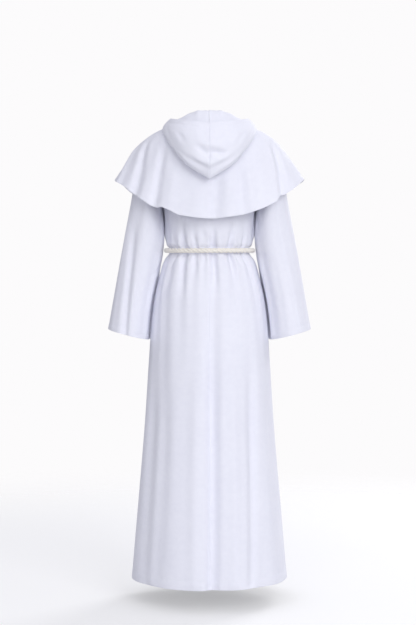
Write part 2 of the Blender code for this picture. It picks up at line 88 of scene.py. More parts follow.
# The hood's middle seam is felled to the left, so its left edge stands up over this width
FELL_WIDTH = 0.0060
FELL_RISE = 0.0015
HEM_TO_STITCH = 0.0016
STITCH_SPACING = 0.0036
STITCH_LENGTH = 0.0026
THREAD = 0.0006

# Robe below the armpits: height, half width, depth behind the middle, depth in front of it
BODY = (
    (0.064, 0.2358, 0.2050, 0.1900),
    (0.180, 0.2260, 0.1930, 0.1800),
    (0.360, 0.2103, 0.1755, 0.1645),
    (0.545, 0.1950, 0.1590, 0.1500),
    (0.725, 0.1832, 0.1450, 0.1375),
    (0.845, 0.1742, 0.1365, 0.1300),
    (0.920, 0.1645, 0.1295, 0.1235),
    (0.980, 0.1500, 0.1195, 0.1150),
    (1.011, 0.1418, 0.1130, 0.1095),
    (1.030, 0.1335, 0.1075, 0.1050),
    (1.040, 0.1260, 0.1025, 0.1020),
    (1.046, 0.1218, 0.1000, 0.1000),
    (1.063, 0.1218, 0.1000, 0.1000),
    (1.068, 0.1270, 0.1030, 0.1025),
    (1.076, 0.1298, 0.1055, 0.1045),
    (1.140, 0.1335, 0.1110, 0.1090),
    (1.180, 0.1375, 0.1150, 0.1125),
    (1.235, 0.1500, 0.1195, 0.1165),
)

# Gathers and long folds of the robe. The first three columns are the turn at the chest, belt and skirt.
# The next five are the inward depth in mm at the chest, belt, hip, knee and hem. The last two are the
# half width in degrees at the belt and at the hem.
FOLD_TURN_HEIGHTS = (1.140, 1.054, 0.800)
FOLD_DEPTH_HEIGHTS = (1.235, 1.140, 1.054, 0.900, 0.500, 0.064)
FOLDS = (
    (38, 36, 29, 3, 11, 5, 0, 0, 4.5, 9),
    (-3, -5, -5, 2, 11, 8, 8, 12, 4.5, 9),
    (-32, -28, -29, 3, 11, 5, 0, 0, 4.5, 9),
    (70, 72, 64, 2, 9, 5, 3, 1, 5.0, 9),
    (21, 19, 17, 1, 6, 2, 0, 0, 4.0, 6),
    (9, 7, 5, 0, 5, 1, 0, 0, 3.5, 6),
    (-50, -52, -58, 1, 6, 3, 1, 0, 4.5, 8),
    (-82, -80, -74, 1, 7, 4, 3, 2, 4.5, 9),
    (54, 54, 50, 0, 4, 5, 9, 8, 5.0, 12),
    (-44, -41, -40, 0, 3, 3, 9, 8, 4.0, 11),
    (102, 104, 108, 2, 9, 5, 3, 2, 5.0, 10),
    (118, 120, 124, 1, 7, 3, 0, 0, 4.5, 8),
    (132, 136, 140, 3, 10, 6, 8, 9, 4.5, 11),
    (150, 152, 156, 1, 7, 3, 0, 0, 4.5, 8),
    (168, 167, 170, 2, 10, 6, 7, 8, 4.5, 10),
    (-174, -176, -179, 1, 6, 2, 0, 0, 4.0, 7),
    (-158, -160, -163, 3, 10, 5, 3, 2, 4.5, 9),
    (-142, -144, -147, 1, 7, 3, 0, 0, 4.5, 8),
    (-128, -128, -130, 3, 10, 6, 9, 10, 4.5, 12),
    (-110, -112, -116, 1, 6, 2, 0, 0, 4.5, 8),
    (-98, -97, -96, 2, 8, 4, 2, 1, 5.0, 9),
)

# Centre line of the robe above the armpits: height, depth behind the middle
CENTRE_BACK = (
    (1.235, 0.1195),
    (1.300, 0.1190),
    (1.360, 0.1080),
    (1.410, 0.0890),
    (1.440, 0.0720),
)

# Centre line of the robe above the armpits: height, depth in front of the middle
CENTRE_FRONT = (
    (1.235, 0.1165),
    (1.290, 0.1170),
    (1.335, 0.1095),
    (1.370, 0.0970),
    (1.398, 0.0860),
)

# Left sleeve: place down the arm, outer edge x and height, underarm edge x and height, half depth,
# middle's distance behind the shoulder line. The first row is the armhole.
SLEEVE = (
    (0, 0.1780, 1.385, 0.1500, 1.235, 0.0680, 0.000),
    (1, 0.2035, 1.356, 0.1440, 1.200, 0.0710, 0.000),
    (2, 0.2200, 1.303, 0.1385, 1.150, 0.0730, 0.000),
    (3, 0.2300, 1.235, 0.1355, 1.095, 0.0745, -0.002),
    (4, 0.2425, 1.165, 0.1395, 1.050, 0.0760, -0.004),
    (5, 0.2577, 1.088, 0.1470, 1.006, 0.0785, -0.006),
    (6, 0.2722, 1.010, 0.1592, 0.955, 0.0820, -0.008),
    (7, 0.2860, 0.932, 0.1697, 0.903, 0.0860, -0.010),
    (8, 0.2975, 0.868, 0.1774, 0.843, 0.0895, -0.012),
    (9, 0.3065, 0.818, 0.1820, 0.786, 0.0925, -0.013),
)
SLEEVE_END = 9.0
# Distance along a sleeve from one place to the next
SLEEVE_PLACE = 0.066

# Long sleeve folds: side of the body (1 left, -1 right), angle at the elbow and cuff, inward depth in mm
# at the armhole, elbow and cuff, half width in degrees
SLEEVE_FOLD_PLACES = (0.0, 4.5, 9.0)
# Place from which a sleeve's rings are round, and no longer the armhole's shape
SLEEVE_ROUND_FROM = 3.0
SLEEVE_FOLDS = (
    (1, 62, 80, 0, 6, 6, 16),
    (1, 140, 128, 0, 2, 1, 16),
    (1, -75, -85, 0, 6, 4, 16),
    (1, -135, -125, 0, 3, 4, 15),
    (-1, 82, 72, 0, 3, 5, 15),
    (-1, 138, 132, 0, 2, 1, 15),
    (-1, -70, -78, 0, 5, 5, 16),
    (-1, -128, -136, 0, 4, 3, 15),
)

# Cape: place from neck (0) to hem (1), side x and height, back depth and height, front depth and height
CAPE = (
    (0.00, 0.0780, 1.4426, 0.0720, 1.4426, 0.0860, 1.4006),
    (0.12, 0.1100, 1.4335, 0.0960, 1.4300, 0.1070, 1.3900),
    (0.25, 0.1400, 1.4195, 0.1195, 1.4020, 0.1245, 1.3600),
    (0.38, 0.1700, 1.4045, 0.1350, 1.3650, 0.1340, 1.3200),
    (0.50, 0.2010, 1.3815, 0.1430, 1.3250, 0.1400, 1.2890),
    (0.62, 0.2245, 1.3550, 0.1475, 1.2790, 0.1445, 1.2560),
    (0.75, 0.2455, 1.3255, 0.1505, 1.2370, 0.1480, 1.2220),
    (0.88, 0.2655, 1.2970, 0.1535, 1.1920, 0.1510, 1.1880),
    (1.00, 0.2855, 1.2670, 0.1565, 1.1480, 0.1540, 1.1540),
)
# Distance down the cape from the neck to the hem
CAPE_LENGTH = 0.310
# Unevenness of the cape's hem, where its folds let it down or take it up: turn, drop in mm
CAPE_DROPS = (
    (-180, 0), (-162, 2), (-150, -2), (-134, 3), (-118, -2), (-100, 2), (-85, -1), (-68, 2), (-54, 3),
    (-48, -2), (-44, 6), (-40, 6), (-32, 5), (-22, 3), (-15, 1), (-8, 0), (12, 0), (19, 1), (24, -4), (29, -5),
    (33, 3), (38, 6), (44, 3), (52, 3), (62, -1), (72, 1), (81, 3), (98, -2), (122, 3), (138, -2),
    (152, 2), (166, -1), (180, 0),
)

# Soft folds of the cape: turn at the hem, inward depth in mm at the hem, half width in degrees, place
# where the fold begins
CAPE_FOLDS = (
    (52, 7, 8, 0.35),
    (36, 6, 6, 0.45),
    (-4, 5, 8, 0.55),
    (-51, 7, 8, 0.35),
    (68, 3, 7, 0.45),
    (-70, 3, 7, 0.45),
    (112, 5, 8, 0.40),
    (138, 7, 8, 0.35),
    (166, 5, 7, 0.50),
    (-120, 7, 9, 0.35),
    (-150, 6, 8, 0.45),
)

# Hood, laid down on the back. Each row is one cut through the cloth at a turn, read from the neck seam to
# the face edge, as distance out from the neck's middle and height in mm: the rolled top, the inner layer
# high and low, the bottom of the pouch, the outer layer low and high, and the face edge.
HOOD = (
    (0, 90, 1466.5, 124, 1416, 153, 1330, 173, 1262, 193, 1300, 194, 1365, 160, 1426),
    (20, 90.5, 1465, 124, 1421, 153, 1356, 174, 1299, 189, 1327, 188, 1380, 159, 1431),
    (40, 90.5, 1460, 120, 1433, 147, 1394, 167, 1354, 176, 1371, 171, 1405, 148, 1439),
    (60, 89.5, 1450, 110, 1441, 135, 1420, 153, 1398, 158, 1406, 149, 1425, 131, 1445),
    (90, 88, 1447, 99, 1444, 115, 1437, 129, 1426, 135, 1430, 127, 1440, 112, 1450),
    (120, 89, 1445, 99, 1440, 112, 1432, 125, 1419, 134, 1426, 127, 1439, 109, 1449),
    (150, 92, 1427, 100, 1420, 110, 1408, 121, 1396, 131, 1402, 125, 1416, 108, 1428),
    (180, 92, 1416, 100, 1409, 108, 1398, 118, 1386, 128, 1391, 123, 1406, 107, 1418),
)
# Points in each row of the hood, after the neck seam
HOOD_POINTS = 7
# Distance from one point of the hood to the next at the centre back
HOOD_PLACE = 0.062

# Rope ends at the front: name, side, length, distance that the end drifts sideways
ROPE_ENDS = (
    ("left", 1, 0.370, 0.018),
    ("right", -1, 0.330, 0.012),
)
KNOT_SIZE = (0.0215, 0.0155, 0.0190)
TIP_SIZE = (0.0135, 0.0135, 0.0160)
# Turn past which the belt lifts off the robe to meet the knot
KNOT_PULL_TURN = 145
# Distance from the skirt's plain form to a hanging end's middle line
ROPE_END_OFFSET = 0.0092
# Length over which a hanging end swings back from the knot to the skirt
ROPE_END_LEAN = 0.05
ROPE_ENDS_APART = 0.002
ROPE_END_STEP = 0.030

# The rope's lay: strands, length of one whole twist, and a strand's share of the rope's diameter
STRANDS = 3
LAY_LENGTH = 0.042
STRAND_SHARE = 0.52
ROPE_RING = 0.0022
# A knot draws the rope tight
KNOT_ROPE = 0.0125
# The knot's turns reach this far down over the tops of the hanging ends
KNOT_OVER_ENDS = 0.0030
# Distance from the knot's middle to the belt's ends, inside its turns
BELT_IN_KNOT = 0.0100

# Finer creases. Each row is a path by three places, given as two surface coordinates each, then the
# inward depth in mm, the half width in mm, and the share of the depth at the start and at the end.
# On the robe's back a place is turn and height.
BACK_CREASES = (
    (37, 1.062, 38, 1.090, 41, 1.130, 4.0, 7.0, 1.0, 0.0),
    (35, 1.047, 31, 0.960, 26, 0.880, 3.5, 8.0, 1.0, 0.0),
    (-5, 1.062, -5, 1.090, -9, 1.145, 3.5, 7.0, 1.0, 0.0),
    (-4, 1.062, 3, 1.090, 14, 1.125, 2.6, 8.0, 0.8, 0.0),
    (-5, 1.047, -7, 0.980, -8, 0.900, 3.5, 7.0, 1.0, 0.0),
    (-29, 1.062, -31, 1.092, -35, 1.150, 3.5, 7.0, 1.0, 0.0),
    (-28, 1.047, -31, 0.990, -36, 0.910, 3.5, 7.5, 1.0, 0.0),
    (70, 1.062, 66, 1.100, 62, 1.150, 3.0, 8.0, 0.9, 0.0),
    (50, 0.995, 58, 0.940, 60, 0.850, 4.0, 13.0, 0.1, 0.0),
    (19, 1.062, 20, 1.085, 24, 1.110, 2.2, 5.0, 1.0, 0.0),
    (19, 1.047, 17, 1.010, 14, 0.950, 2.2, 6.0, 1.0, 0.0),
    (-52, 1.062, -53, 1.090, -57, 1.120, 2.2, 6.0, 1.0, 0.0),
    (-52, 1.047, -55, 1.000, -60, 0.930, 2.4, 7.0, 1.0, 0.0),
    (-79, 1.062, -76, 1.100, -70, 1.150, 3.0, 8.0, 0.9, 0.0),
    (-1, 0.930, -3, 0.450, -2, 0.070, 14.0, 15.0, 0.1, 0.9),
    (52, 0.760, 50, 0.400, 49, 0.080, -4.5, 20.0, 0.0, 0.8),
    (-44, 0.800, -40, 0.460, -33, 0.080, 7.0, 14.0, 0.0, 0.8),
    (12, 0.800, 12, 0.450, 11, 0.080, -4.0, 16.0, 0.0, 0.8),
    (-21, 0.800, -21, 0.450, -18, 0.080, -4.0, 14.0, 0.0, 0.9),
    (64, 0.700, 62, 0.450, 60, 0.120, 3.5, 20.0, 0.0, 0.5),
    (33, 0.700, 33, 0.420, 30, 0.150, -1.6, 16.0, 0.0, 0.2),
    (-66, 0.780, -66, 0.480, -64, 0.160, 2.6, 14.0, 0.0, 0.4),
    (-79, 0.700, -80, 0.480, -80, 0.200, -1.6, 14.0, 0.0, 0.1),
    (-90, 1.075, -90, 1.110, -90, 1.150, -4.0, 14.0, 0.0, 0.0),
    (90, 1.075, 90, 1.110, 90, 1.150, -4.0, 14.0, 0.0, 0.0),
)

# On the robe's front, with the right side at turns past 180
FRONT_CREASES = (
    (270, 1.075, 270, 1.110, 270, 1.150, -4.0, 14.0, 0.0, 0.0),
    (90, 1.075, 90, 1.110, 90, 1.150, -4.0, 14.0, 0.0, 0.0),
    (104, 1.047, 108, 0.970, 112, 0.880, 3.0, 8.0, 1.0, 0.0),
    (104, 1.062, 101, 1.095, 98, 1.140, 3.0, 8.0, 1.0, 0.0),
    (120, 1.062, 122, 1.090, 126, 1.130, 2.4, 6.0, 1.0, 0.0),
    (120, 1.047, 122, 0.990, 127, 0.930, 2.4, 7.0, 1.0, 0.0),
    (136, 1.062, 134, 1.110, 129, 1.170, 3.8, 8.0, 1.0, 0.0),
    (136, 1.047, 139, 0.970, 145, 0.880, 3.4, 8.0, 1.0, 0.0),
    (152, 1.062, 152, 1.085, 150, 1.120, 2.2, 6.0, 1.0, 0.0),
    (152, 1.047, 155, 1.000, 160, 0.930, 2.4, 7.0, 1.0, 0.0),
    (167, 1.062, 170, 1.110, 175, 1.180, 3.6, 8.0, 1.0, 0.0),
    (167, 1.047, 169, 0.970, 173, 0.860, 3.4, 8.0, 1.0, 0.0),
    (184, 1.062, 184, 1.090, 187, 1.130, 2.4, 6.0, 1.0, 0.0),
    (200, 1.062, 198, 1.105, 193, 1.160, 3.6, 8.0, 1.0, 0.0),
    (200, 1.047, 198, 0.980, 194, 0.890, 3.2, 8.0, 1.0, 0.0),
    (216, 1.062, 217, 1.095, 221, 1.130, 2.4, 6.0, 1.0, 0.0),
    (232, 1.062, 234, 1.110, 240, 1.170, 3.8, 8.0, 1.0, 0.0),
    (232, 1.047, 229, 0.970, 224, 0.880, 3.4, 8.0, 1.0, 0.0),
    (248, 1.047, 246, 0.990, 242, 0.930, 2.4, 7.0, 1.0, 0.0),
    (263, 1.062, 262, 1.095, 258, 1.140, 3.0, 8.0, 1.0, 0.0),
    (263, 1.047, 264, 0.970, 262, 0.880, 3.0, 8.0, 1.0, 0.0),
    (118, 0.840, 116, 0.500, 115, 0.090, 6.0, 16.0, 0.0, 0.5),
    (155, 0.820, 154, 0.480, 153, 0.080, -5.0, 18.0, 0.0, 0.7),
    (186, 0.860, 187, 0.560, 186, 0.180, -3.5, 18.0, 0.0, 0.3),
    (208, 0.780, 209, 0.480, 210, 0.080, 7.0, 16.0, 0.0, 0.8),
    (246, 0.820, 247, 0.500, 247, 0.100, -4.5, 17.0, 0.0, 0.6),
    (152, 1.330, 158, 1.260, 170, 1.220, 3.0, 12.0, 0.0, 0.0),
    (208, 1.335, 203, 1.265, 190, 1.215, 3.0, 12.0, 0.0, 0.0),
)

# On a sleeve a place is angle and place down the arm. The first column is the side of the body.
SLEEVE_CREASES = (
    (1, -154, 0.9, -154, 2.2, -154, 4.0, -11.5, 12.0, 0.4, 0.0),
    (1, -160, 4.5, -160, 6.8, -160, 9.0, -8.5, 13.0, 0.0, 0.9),
    (-1, -154, 0.9, -154, 2.2, -154, 4.0, -11.5, 12.0, 0.4, 0.0),
    (-1, -160, 4.5, -160, 6.8, -160, 9.0, -8.5, 13.0, 0.0, 0.9),
    (1, 172, 0.5, 140, 1.3, 112, 2.2, 3.0, 9.0, 0.7, 0.0),
    (1, 176, 1.1, 150, 2.2, 132, 3.6, 2.8, 9.0, 0.7, 0.0),
    (1, 40, 3.2, 68, 6.2, 83, 9.0, 5.5, 14.0, 0.0, 1.0),
    (1, 16, 3.0, 28, 5.5, 38, 8.8, -3.0, 13.0, 0.0, 0.7),
    (1, 148, 3.4, 148, 6.0, 146, 8.8, -4.0, 12.0, 0.2, 0.7),
    (-1, 150, 3.2, 152, 6.0, 150, 8.8, -5.0, 12.0, 0.2, 0.8),
    (1, 168, 3.8, 140, 4.3, 110, 4.2, 2.2, 9.0, 0.6, 0.0),
    (1, 172, 4.7, 146, 5.5, 118, 6.2, 2.2, 10.0, 0.5, 0.0),
    (1, 108, 5.2, 104, 7.0, 102, 8.9, 2.0, 11.0, 0.0, 0.6),
    (1, -170, 0.6, -140, 1.4, -112, 2.3, 3.0, 9.0, 0.7, 0.0),
    (1, -172, 1.3, -150, 2.4, -130, 3.8, 2.6, 9.0, 0.6, 0.0),
    (1, -50, 2.8, -58, 5.0, -60, 8.9, 2.6, 12.0, 0.0, 0.7),
    (1, -168, 4.0, -132, 4.5, -98, 4.2, 2.8, 9.0, 0.5, 0.0),
    (1, -170, 4.9, -140, 5.5, -104, 5.4, 2.4, 10.0, 0.4, 0.0),
    (1, -20, 4.4, -16, 6.5, -18, 8.7, -1.8, 13.0, 0.0, 0.4),
    (-1, 172, 0.5, 142, 1.2, 116, 2.0, 3.0, 9.0, 0.7, 0.0),
    (-1, 174, 1.2, 152, 2.4, 140, 4.0, 2.6, 10.0, 0.7, 0.0),
    (-1, 58, 2.8, 54, 5.2, 50, 8.9, 2.4, 13.0, 0.0, 0.6),
    (-1, 104, 4.6, 106, 6.8, 108, 8.9, 2.0, 12.0, 0.0, 0.6),
    (-1, 168, 3.9, 138, 4.6, 112, 4.7, 2.0, 9.0, 0.5, 0.0),
    (-1, 26, 3.6, 22, 6.0, 24, 8.7, -2.0, 13.0, 0.0, 0.4),
    (-1, -170, 0.6, -142, 1.5, -116, 2.5, 3.0, 9.0, 0.7, 0.0),
    (-1, -172, 1.4, -148, 2.6, -134, 4.0, 2.6, 9.0, 0.6, 0.0),
    (-1, -56, 2.6, -50, 5.0, -52, 8.9, 2.6, 12.0, 0.0, 0.7),
    (-1, -168, 4.2, -130, 4.6, -100, 4.4, 2.8, 9.0, 0.5, 0.0),
    (-1, -100, 5.4, -104, 7.2, -108, 8.9, 2.2, 12.0, 0.0, 0.6),
)

# On the cape a place is turn and place from neck to hem
CAPE_CREASES = (
    (73, 0.40, 59, 0.70, 53, 1.00, 7.5, 13.0, 0.1, 1.0),
    (52, 0.52, 48, 0.76, 45, 1.00, -1.5, 9.0, 0.0, 0.8),
    (44, 0.38, 39, 0.68, 36, 1.00, 7.0, 11.0, 0.1, 1.0),
    (28, 0.58, 26, 0.80, 25, 1.00, -2.6, 12.0, 0.0, 0.8),
    (9, 0.66, 8, 0.84, 8, 1.00, -2.0, 12.0, 0.0, 0.9),
    (-7, 0.54, -4.5, 0.80, -2.8, 1.00, 8.5, 13.0, 0.0, 1.0),
    (-14, 0.60, -13, 0.80, -11.5, 1.00, -1.6, 9.0, 0.0, 0.9),
    (-23, 0.52, -21.5, 0.80, -20, 1.00, 6.5, 11.0, 0.0, 1.0),
    (-31, 0.50, -29, 0.76, -27, 1.00, -3.2, 10.0, 0.0, 0.8),
    (-68, 0.42, -60, 0.70, -51, 1.00, 8.5, 12.0, 0.1, 1.0),
    (-78, 0.54, -70, 0.76, -63, 1.00, -1.6, 11.0, 0.0, 0.8),
    (92, 0.44, 83, 0.72, 75, 1.00, -4.5, 15.0, 0.0, 0.9),
    (100, 0.40, 98, 0.72, 97, 1.00, -2.4, 12.0, 0.0, 0.8),
    (122, 0.38, 124, 0.70, 124, 1.00, 3.0, 11.0, 0.0, 1.0),
    (150, 0.42, 151, 0.72, 152, 1.00, -2.4, 12.0, 0.0, 0.9),
    (158, 0.30, 160, 0.60, 163, 0.90, 2.2, 10.0, 0.0, 0.4),
    (-98, 0.42, -100, 0.72, -100, 1.00, 2.6, 12.0, 0.0, 0.9),
    (-110, 0.46, -110, 0.76, -109, 1.00, -2.2, 12.0, 0.0, 0.8),
    (-134, 0.38, -135, 0.70, -136, 1.00, 3.0, 11.0, 0.0, 1.0),
    (-164, 0.40, -166, 0.70, -168, 1.00, -2.2, 12.0, 0.0, 0.8),
)

# On the hood a place is turn and point in its row
HOOD_CREASES = (
    (0, 5.50, 6, 5.60, 14, 5.84, 8.0, 9.0, 0.9, 0.0),
    (0, 5.70, -8.5, 5.44, -18, 5.24, 9.0, 8.0, 0.6, 0.0),
    (0, 5.06, 9, 5.12, 20, 5.36, -4.5, 10.0, 0.5, 0.0),
    (0, 5.06, -9, 5.10, -22, 5.26, -4.5, 10.0, 0.5, 0.0),
    (4, 4.80, 19, 4.92, 40, 5.30, 0.8, 9.0, 0.0, 0.1),
    (-4, 4.80, -19, 4.92, -40, 5.30, 0.7, 9.0, 0.0, 0.1),
    (4, 4.50, 20, 4.62, 44, 4.80, -1.0, 8.0, 0.0, 0.2),
    (-4, 4.50, -20, 4.62, -44, 4.80, -1.0, 8.0, 0.0, 0.2),
    (30, 6.3, 26, 5.9, 18, 5.6, 2.6, 11.0, 0.0, 0.0),
    (-34, 6.2, -30, 5.8, -23, 5.5, 2.2, 11.0, 0.0, 0.0),
    (56, 6.4, 46, 5.6, 36, 5.2, 1.2, 11.0, 0.0, 0.0),
    (-56, 6.4, -46, 5.6, -36, 5.2, 1.8, 9.0, 0.0, 0.0),
    (14, 6.9, 10, 6.2, 8, 5.5, -1.4, 12.0, 0.4, 0.0),
    (-14, 6.9, -12, 6.2, -8, 5.5, -1.2, 12.0, 0.4, 0.0),
    (24, 0.6, 20, 1.3, 14, 2.2, 2.2, 9.0, 0.3, 0.0),
    (-22, 0.6, -20, 1.3, -16, 2.2, 2.2, 9.0, 0.3, 0.0),
    (100, 0.8, 112, 1.2, 128, 1.0, 1.4, 7.0, 0.0, 0.0),
    (-100, 0.8, -112, 1.2, -128, 1.0, 1.4, 7.0, 0.0, 0.0),
)

# Small gathers where the rope draws the cloth in: mean spacing in degrees, length, depth in mm
GATHER_SPACING = 6.4
GATHER_LENGTHS = (0.012, 0.040)
GATHER_DEPTHS = (0.9, 2.6)
GATHER_HALF_WIDTH = 3.6
GATHER_SEED = 11

# Steps of the fine meshes, and the extra stops in mm beside seams and hem lines
BODY_STEP = 0.0056
BELT_STEP = 0.0030
BELT_BAND = (0.980, 1.130)
BACK_COLUMNS = 96
FRONT_COLUMNS = 160
YOKE_ROWS = 44
SLEEVE_COLUMNS = 128
SLEEVE_ROWS = 128
CAPE_COLUMNS = 120
CAPE_ROWS = 76
HOOD_COLUMNS = 92
HOOD_ROWS = 140
SEAM_STOPS = (0.4, 1.0, 1.8, 2.8, 4.2)
HEM_EDGE_STOPS = (0.5, 1.4, 2.8)
HEM_LINE_STOPS = (-2.6, -1.4, -0.6, 0.2, 1.0, 2.0)
PATH_STEPS = 14

# Photo's view: the camera's distance behind the robe, height above the ground, sideways place and
# downward tilt in degrees. The lens is for a 36 mm sensor along the picture's long side.
CAMERA_DISTANCE = 4.5
CAMERA_HEIGHT = 1.05
CAMERA_SIDE = 0.0045
CAMERA_TILT = 2.325
CAMERA_LENS = 85.8


def smooth(table, column, at):
    """Read a column at the given values of the first column, on a curve that never overshoots its rows."""
    knots = np.array([row[0] for row in table], dtype=float)
    values = np.array([row[column] for row in table], dtype=float)
    if knots[0] > knots[-1]:
        knots = knots[::-1]
        values = values[::-1]
    gaps = np.diff(knots)
    rises = np.diff(values) / gaps
    slopes = np.zeros(len(knots))
    slopes[0] = rises[0]
    slopes[-1] = rises[-1]
    same_way = rises[:-1] * rises[1:] > 0
    total = np.where(same_way, rises[:-1] + rises[1:], 1.0)
    slopes[1:-1] = np.where(same_way, 2 * rises[:-1] * rises[1:] / total, 0.0)
    place = np.clip(np.asarray(at, dtype=float), knots[0], knots[-1])
    row = np.clip(np.searchsorted(knots, place) - 1, 0, len(gaps) - 1)
    gap = gaps[row]
    t = (place - knots[row]) / gap
    start = (1 + 2 * t) * (1 - t) ** 2 * values[row] + t * (1 - t) ** 2 * gap * slopes[row]
    end = t * t * (3 - 2 * t) * values[row + 1] + t * t * (t - 1) * gap * slopes[row + 1]
    return start + end


def away(angle, middle):
    """Signed angle in degrees from a fold's middle, the short way round."""
    return (angle - middle + 180.0) % 360.0 - 180.0


def ease(share):
    """A soft step from 0 to 1."""
    share = np.clip(share, 0, 1)
    return share * share * (3 - 2 * share)


def unit(vectors):
    """The vectors at length one."""
    return vectors / np.linalg.norm(vectors, axis=-1, keepdims=True)


def robe_fold(turn, height):
    """Inward depth of the robe's gathers and folds at a turn and height."""
    depth = np.zeros(np.broadcast(turn, height).shape)
    for fold in FOLDS:
        middle = smooth(tuple(zip(FOLD_TURN_HEIGHTS, fold[:3])), 1, height)
        deep = smooth(tuple(zip(FOLD_DEPTH_HEIGHTS, (0,) + fold[3:8])), 1, height)
        wide = np.interp(height, (HEM_HEIGHT, 0.5, BELT_HEIGHT), (fold[9], fold[9], fold[8]))
        depth = depth + deep * MM * np.exp(-((away(turn, middle) / wide) ** 2))
    return depth


def robe_point(turn, height):
    """Point on the robe's outside below the armpits."""
    sine = np.sin(np.radians(turn))
    cosine = np.cos(np.radians(turn))
    width = smooth(BODY, 1, height)
    depth = np.where(cosine > 0, smooth(BODY, 2, height), smooth(BODY, 3, height))
    out_x = sine / width
    out_y = cosine / depth
    inward = robe_fold(turn, height) / np.hypot(out_x, out_y)
    x = width * sine - inward * out_x
    y = depth * cosine - inward * out_y
    return np.stack((x, y, height + 0 * x), axis=-1)


def neck_height(y):
    """Height of the neckline, which drops towards the front."""
    return NECK_HEIGHT - NECK_DROP * np.clip(-y / NECK_FRONT, 0, 1) ** 2


def neck_point(turn):
    """Point on the robe's neckline."""
    sine = np.sin(np.radians(turn))
    cosine = np.cos(np.radians(turn))
    y = np.where(cosine > 0, NECK_BACK, NECK_FRONT) * cosine
    return np.stack((NECK_HALF_WIDTH * sine, y, neck_height(y)), axis=-1)


def armhole_frame():
    """Middle of the left armhole, its half height as a vector, and its outward normal."""
    tip = np.array((SHOULDER_TIP[0], 0, SHOULDER_TIP[1]))
    pit = robe_point(np.array(90.0), np.array(ARMPIT_HEIGHT))
    pit[1] = 0
    up = (tip - pit) / 2
    out = np.cross((0, 1, 0), up)
    return (tip + pit) / 2, up, out / np.linalg.norm(out)


def armhole_shape(angle):
    """Share of the armhole's depth at an angle round it: an egg whose point is at the armpit."""
    return EGG_FULLNESS * np.sin(np.radians(angle)) * np.cos(np.radians(away(angle, 0) / 2))


def armhole_point(angle):
    """Point on the left armhole, from the shoulder tip (0) by the back (90) to the armpit (180)."""
    middle, up, _ = armhole_frame()
    along = np.cos(np.radians(angle))[..., None] * up
    across = armhole_shape(angle)[..., None] * np.array((0, ARMHOLE_DEPTH, 0))
    return middle + along + across


def yoke(behind, quarter, rows):
    """Left half of the robe above the armpits, from the centre line to the armhole.

    quarter holds the columns' turns from the centre line, from 0 to 90.
    """
    table = CENTRE_BACK if behind else CENTRE_FRONT
    facing = 1 if behind else -1
    turns = quarter if behind else 180 - quarter
    bottom = robe_point(turns, np.full(len(turns), ARMPIT_HEIGHT))
    on_neck = quarter <= NECK_COLUMN_TURN
    neck_turns = np.clip(quarter / NECK_COLUMN_TURN, 0, 1) * 90
    neck = neck_point(neck_turns if behind else 180 - neck_turns)
    tip = np.array((SHOULDER_TIP[0], 0, SHOULDER_TIP[1]))
    share = np.clip((quarter - NECK_COLUMN_TURN) / (90 - NECK_COLUMN_TURN), 0, 1)[:, None]
    top = np.where(on_neck[:, None], neck, neck_point(90.0) + share * (tip - neck_point(90.0)))
    v = np.linspace(0, 1, rows + 1)
    heights = ARMPIT_HEIGHT + v * (table[-1][0] - ARMPIT_HEIGHT)
    start = np.stack((0 * heights, facing * smooth(table, 1, heights), heights), axis=-1)
    start[0] = bottom[0]
    end = armhole_point(facing * (1 - v) * 180)
    v = v[:, None, None]
    u = (quarter / 90)[None, :, None]
    start_bow = start[:, None] - (1 - v) * bottom[0] - v * top[0]
    end_bow = end[:, None] - (1 - v) * bottom[-1] - v * top[-1]
    return (1 - v) * bottom[None] + v * top[None] + (1 - u) ** 2 * start_bow + u * u * end_bow


def sleeve_point(angle, place, side):
    """Point on a sleeve's outside, in the left side's place."""
    cosine = np.cos(np.radians(angle))
    sine = np.sin(np.radians(angle))
    outer = np.stack((smooth(SLEEVE, 1, place), 0 * place, smooth(SLEEVE, 2, place)), axis=-1)
    under = np.stack((smooth(SLEEVE, 3, place), 0 * place, smooth(SLEEVE, 4, place)), axis=-1)
    depth = smooth(SLEEVE, 5, place)
    inward = 0 * place
    for fold in SLEEVE_FOLDS:
        if fold[0] != side:
            continue
        middle = np.interp(place, SLEEVE_FOLD_PLACES[1:], fold[1:3])
        deep = smooth(tuple(zip(SLEEVE_FOLD_PLACES, fold[3:6])), 1, place)
        inward = inward + deep * MM * np.exp(-((away(angle, middle) / fold[6]) ** 2))
    share = 1 - inward / depth
    middle = (outer + under) / 2
    spread = (outer - under) / 2
    point = middle + (share * cosine)[..., None] * spread
    near_armhole = np.clip(1 - place / SLEEVE_ROUND_FROM, 0, 1)
    shape = near_armhole * armhole_shape(angle) + (1 - near_armhole) * sine
    point[..., 1] = smooth(SLEEVE, 6, place) + depth * shape * share
    return point


def cape_point(turn, place):
    """Point on the cape's outside, from neck (0) to hem (1)."""
    sine = np.sin(np.radians(turn))
    cosine = np.cos(np.radians(turn))
    behind = cosine > 0
    width = smooth(CAPE, 1, place)
    depth = np.where(behind, smooth(CAPE, 3, place), smooth(CAPE, 5, place))
    side_height = smooth(CAPE, 2, place)
    end_height = np.where(behind, smooth(CAPE, 4, place), smooth(CAPE, 6, place))
    inward = np.zeros(np.broadcast(turn, place).shape)
    for middle, deep, wide, begins in CAPE_FOLDS:
        grown = ease((place - begins) / (1 - begins))
        inward = inward + deep * MM * grown * np.exp(-((away(turn, middle) / wide) ** 2))
    length = np.hypot(sine / width, cosine / depth)
    x = width * sine - inward * sine / width / length
    y = depth * cosine - inward * cosine / depth / length
    drop = smooth(CAPE_DROPS, 1, turn) * MM * ease((place - 0.55) / 0.45)
    z = side_height + (end_height - side_height) * cosine ** 2 - drop
    return np.stack((x, y, z), axis=-1)


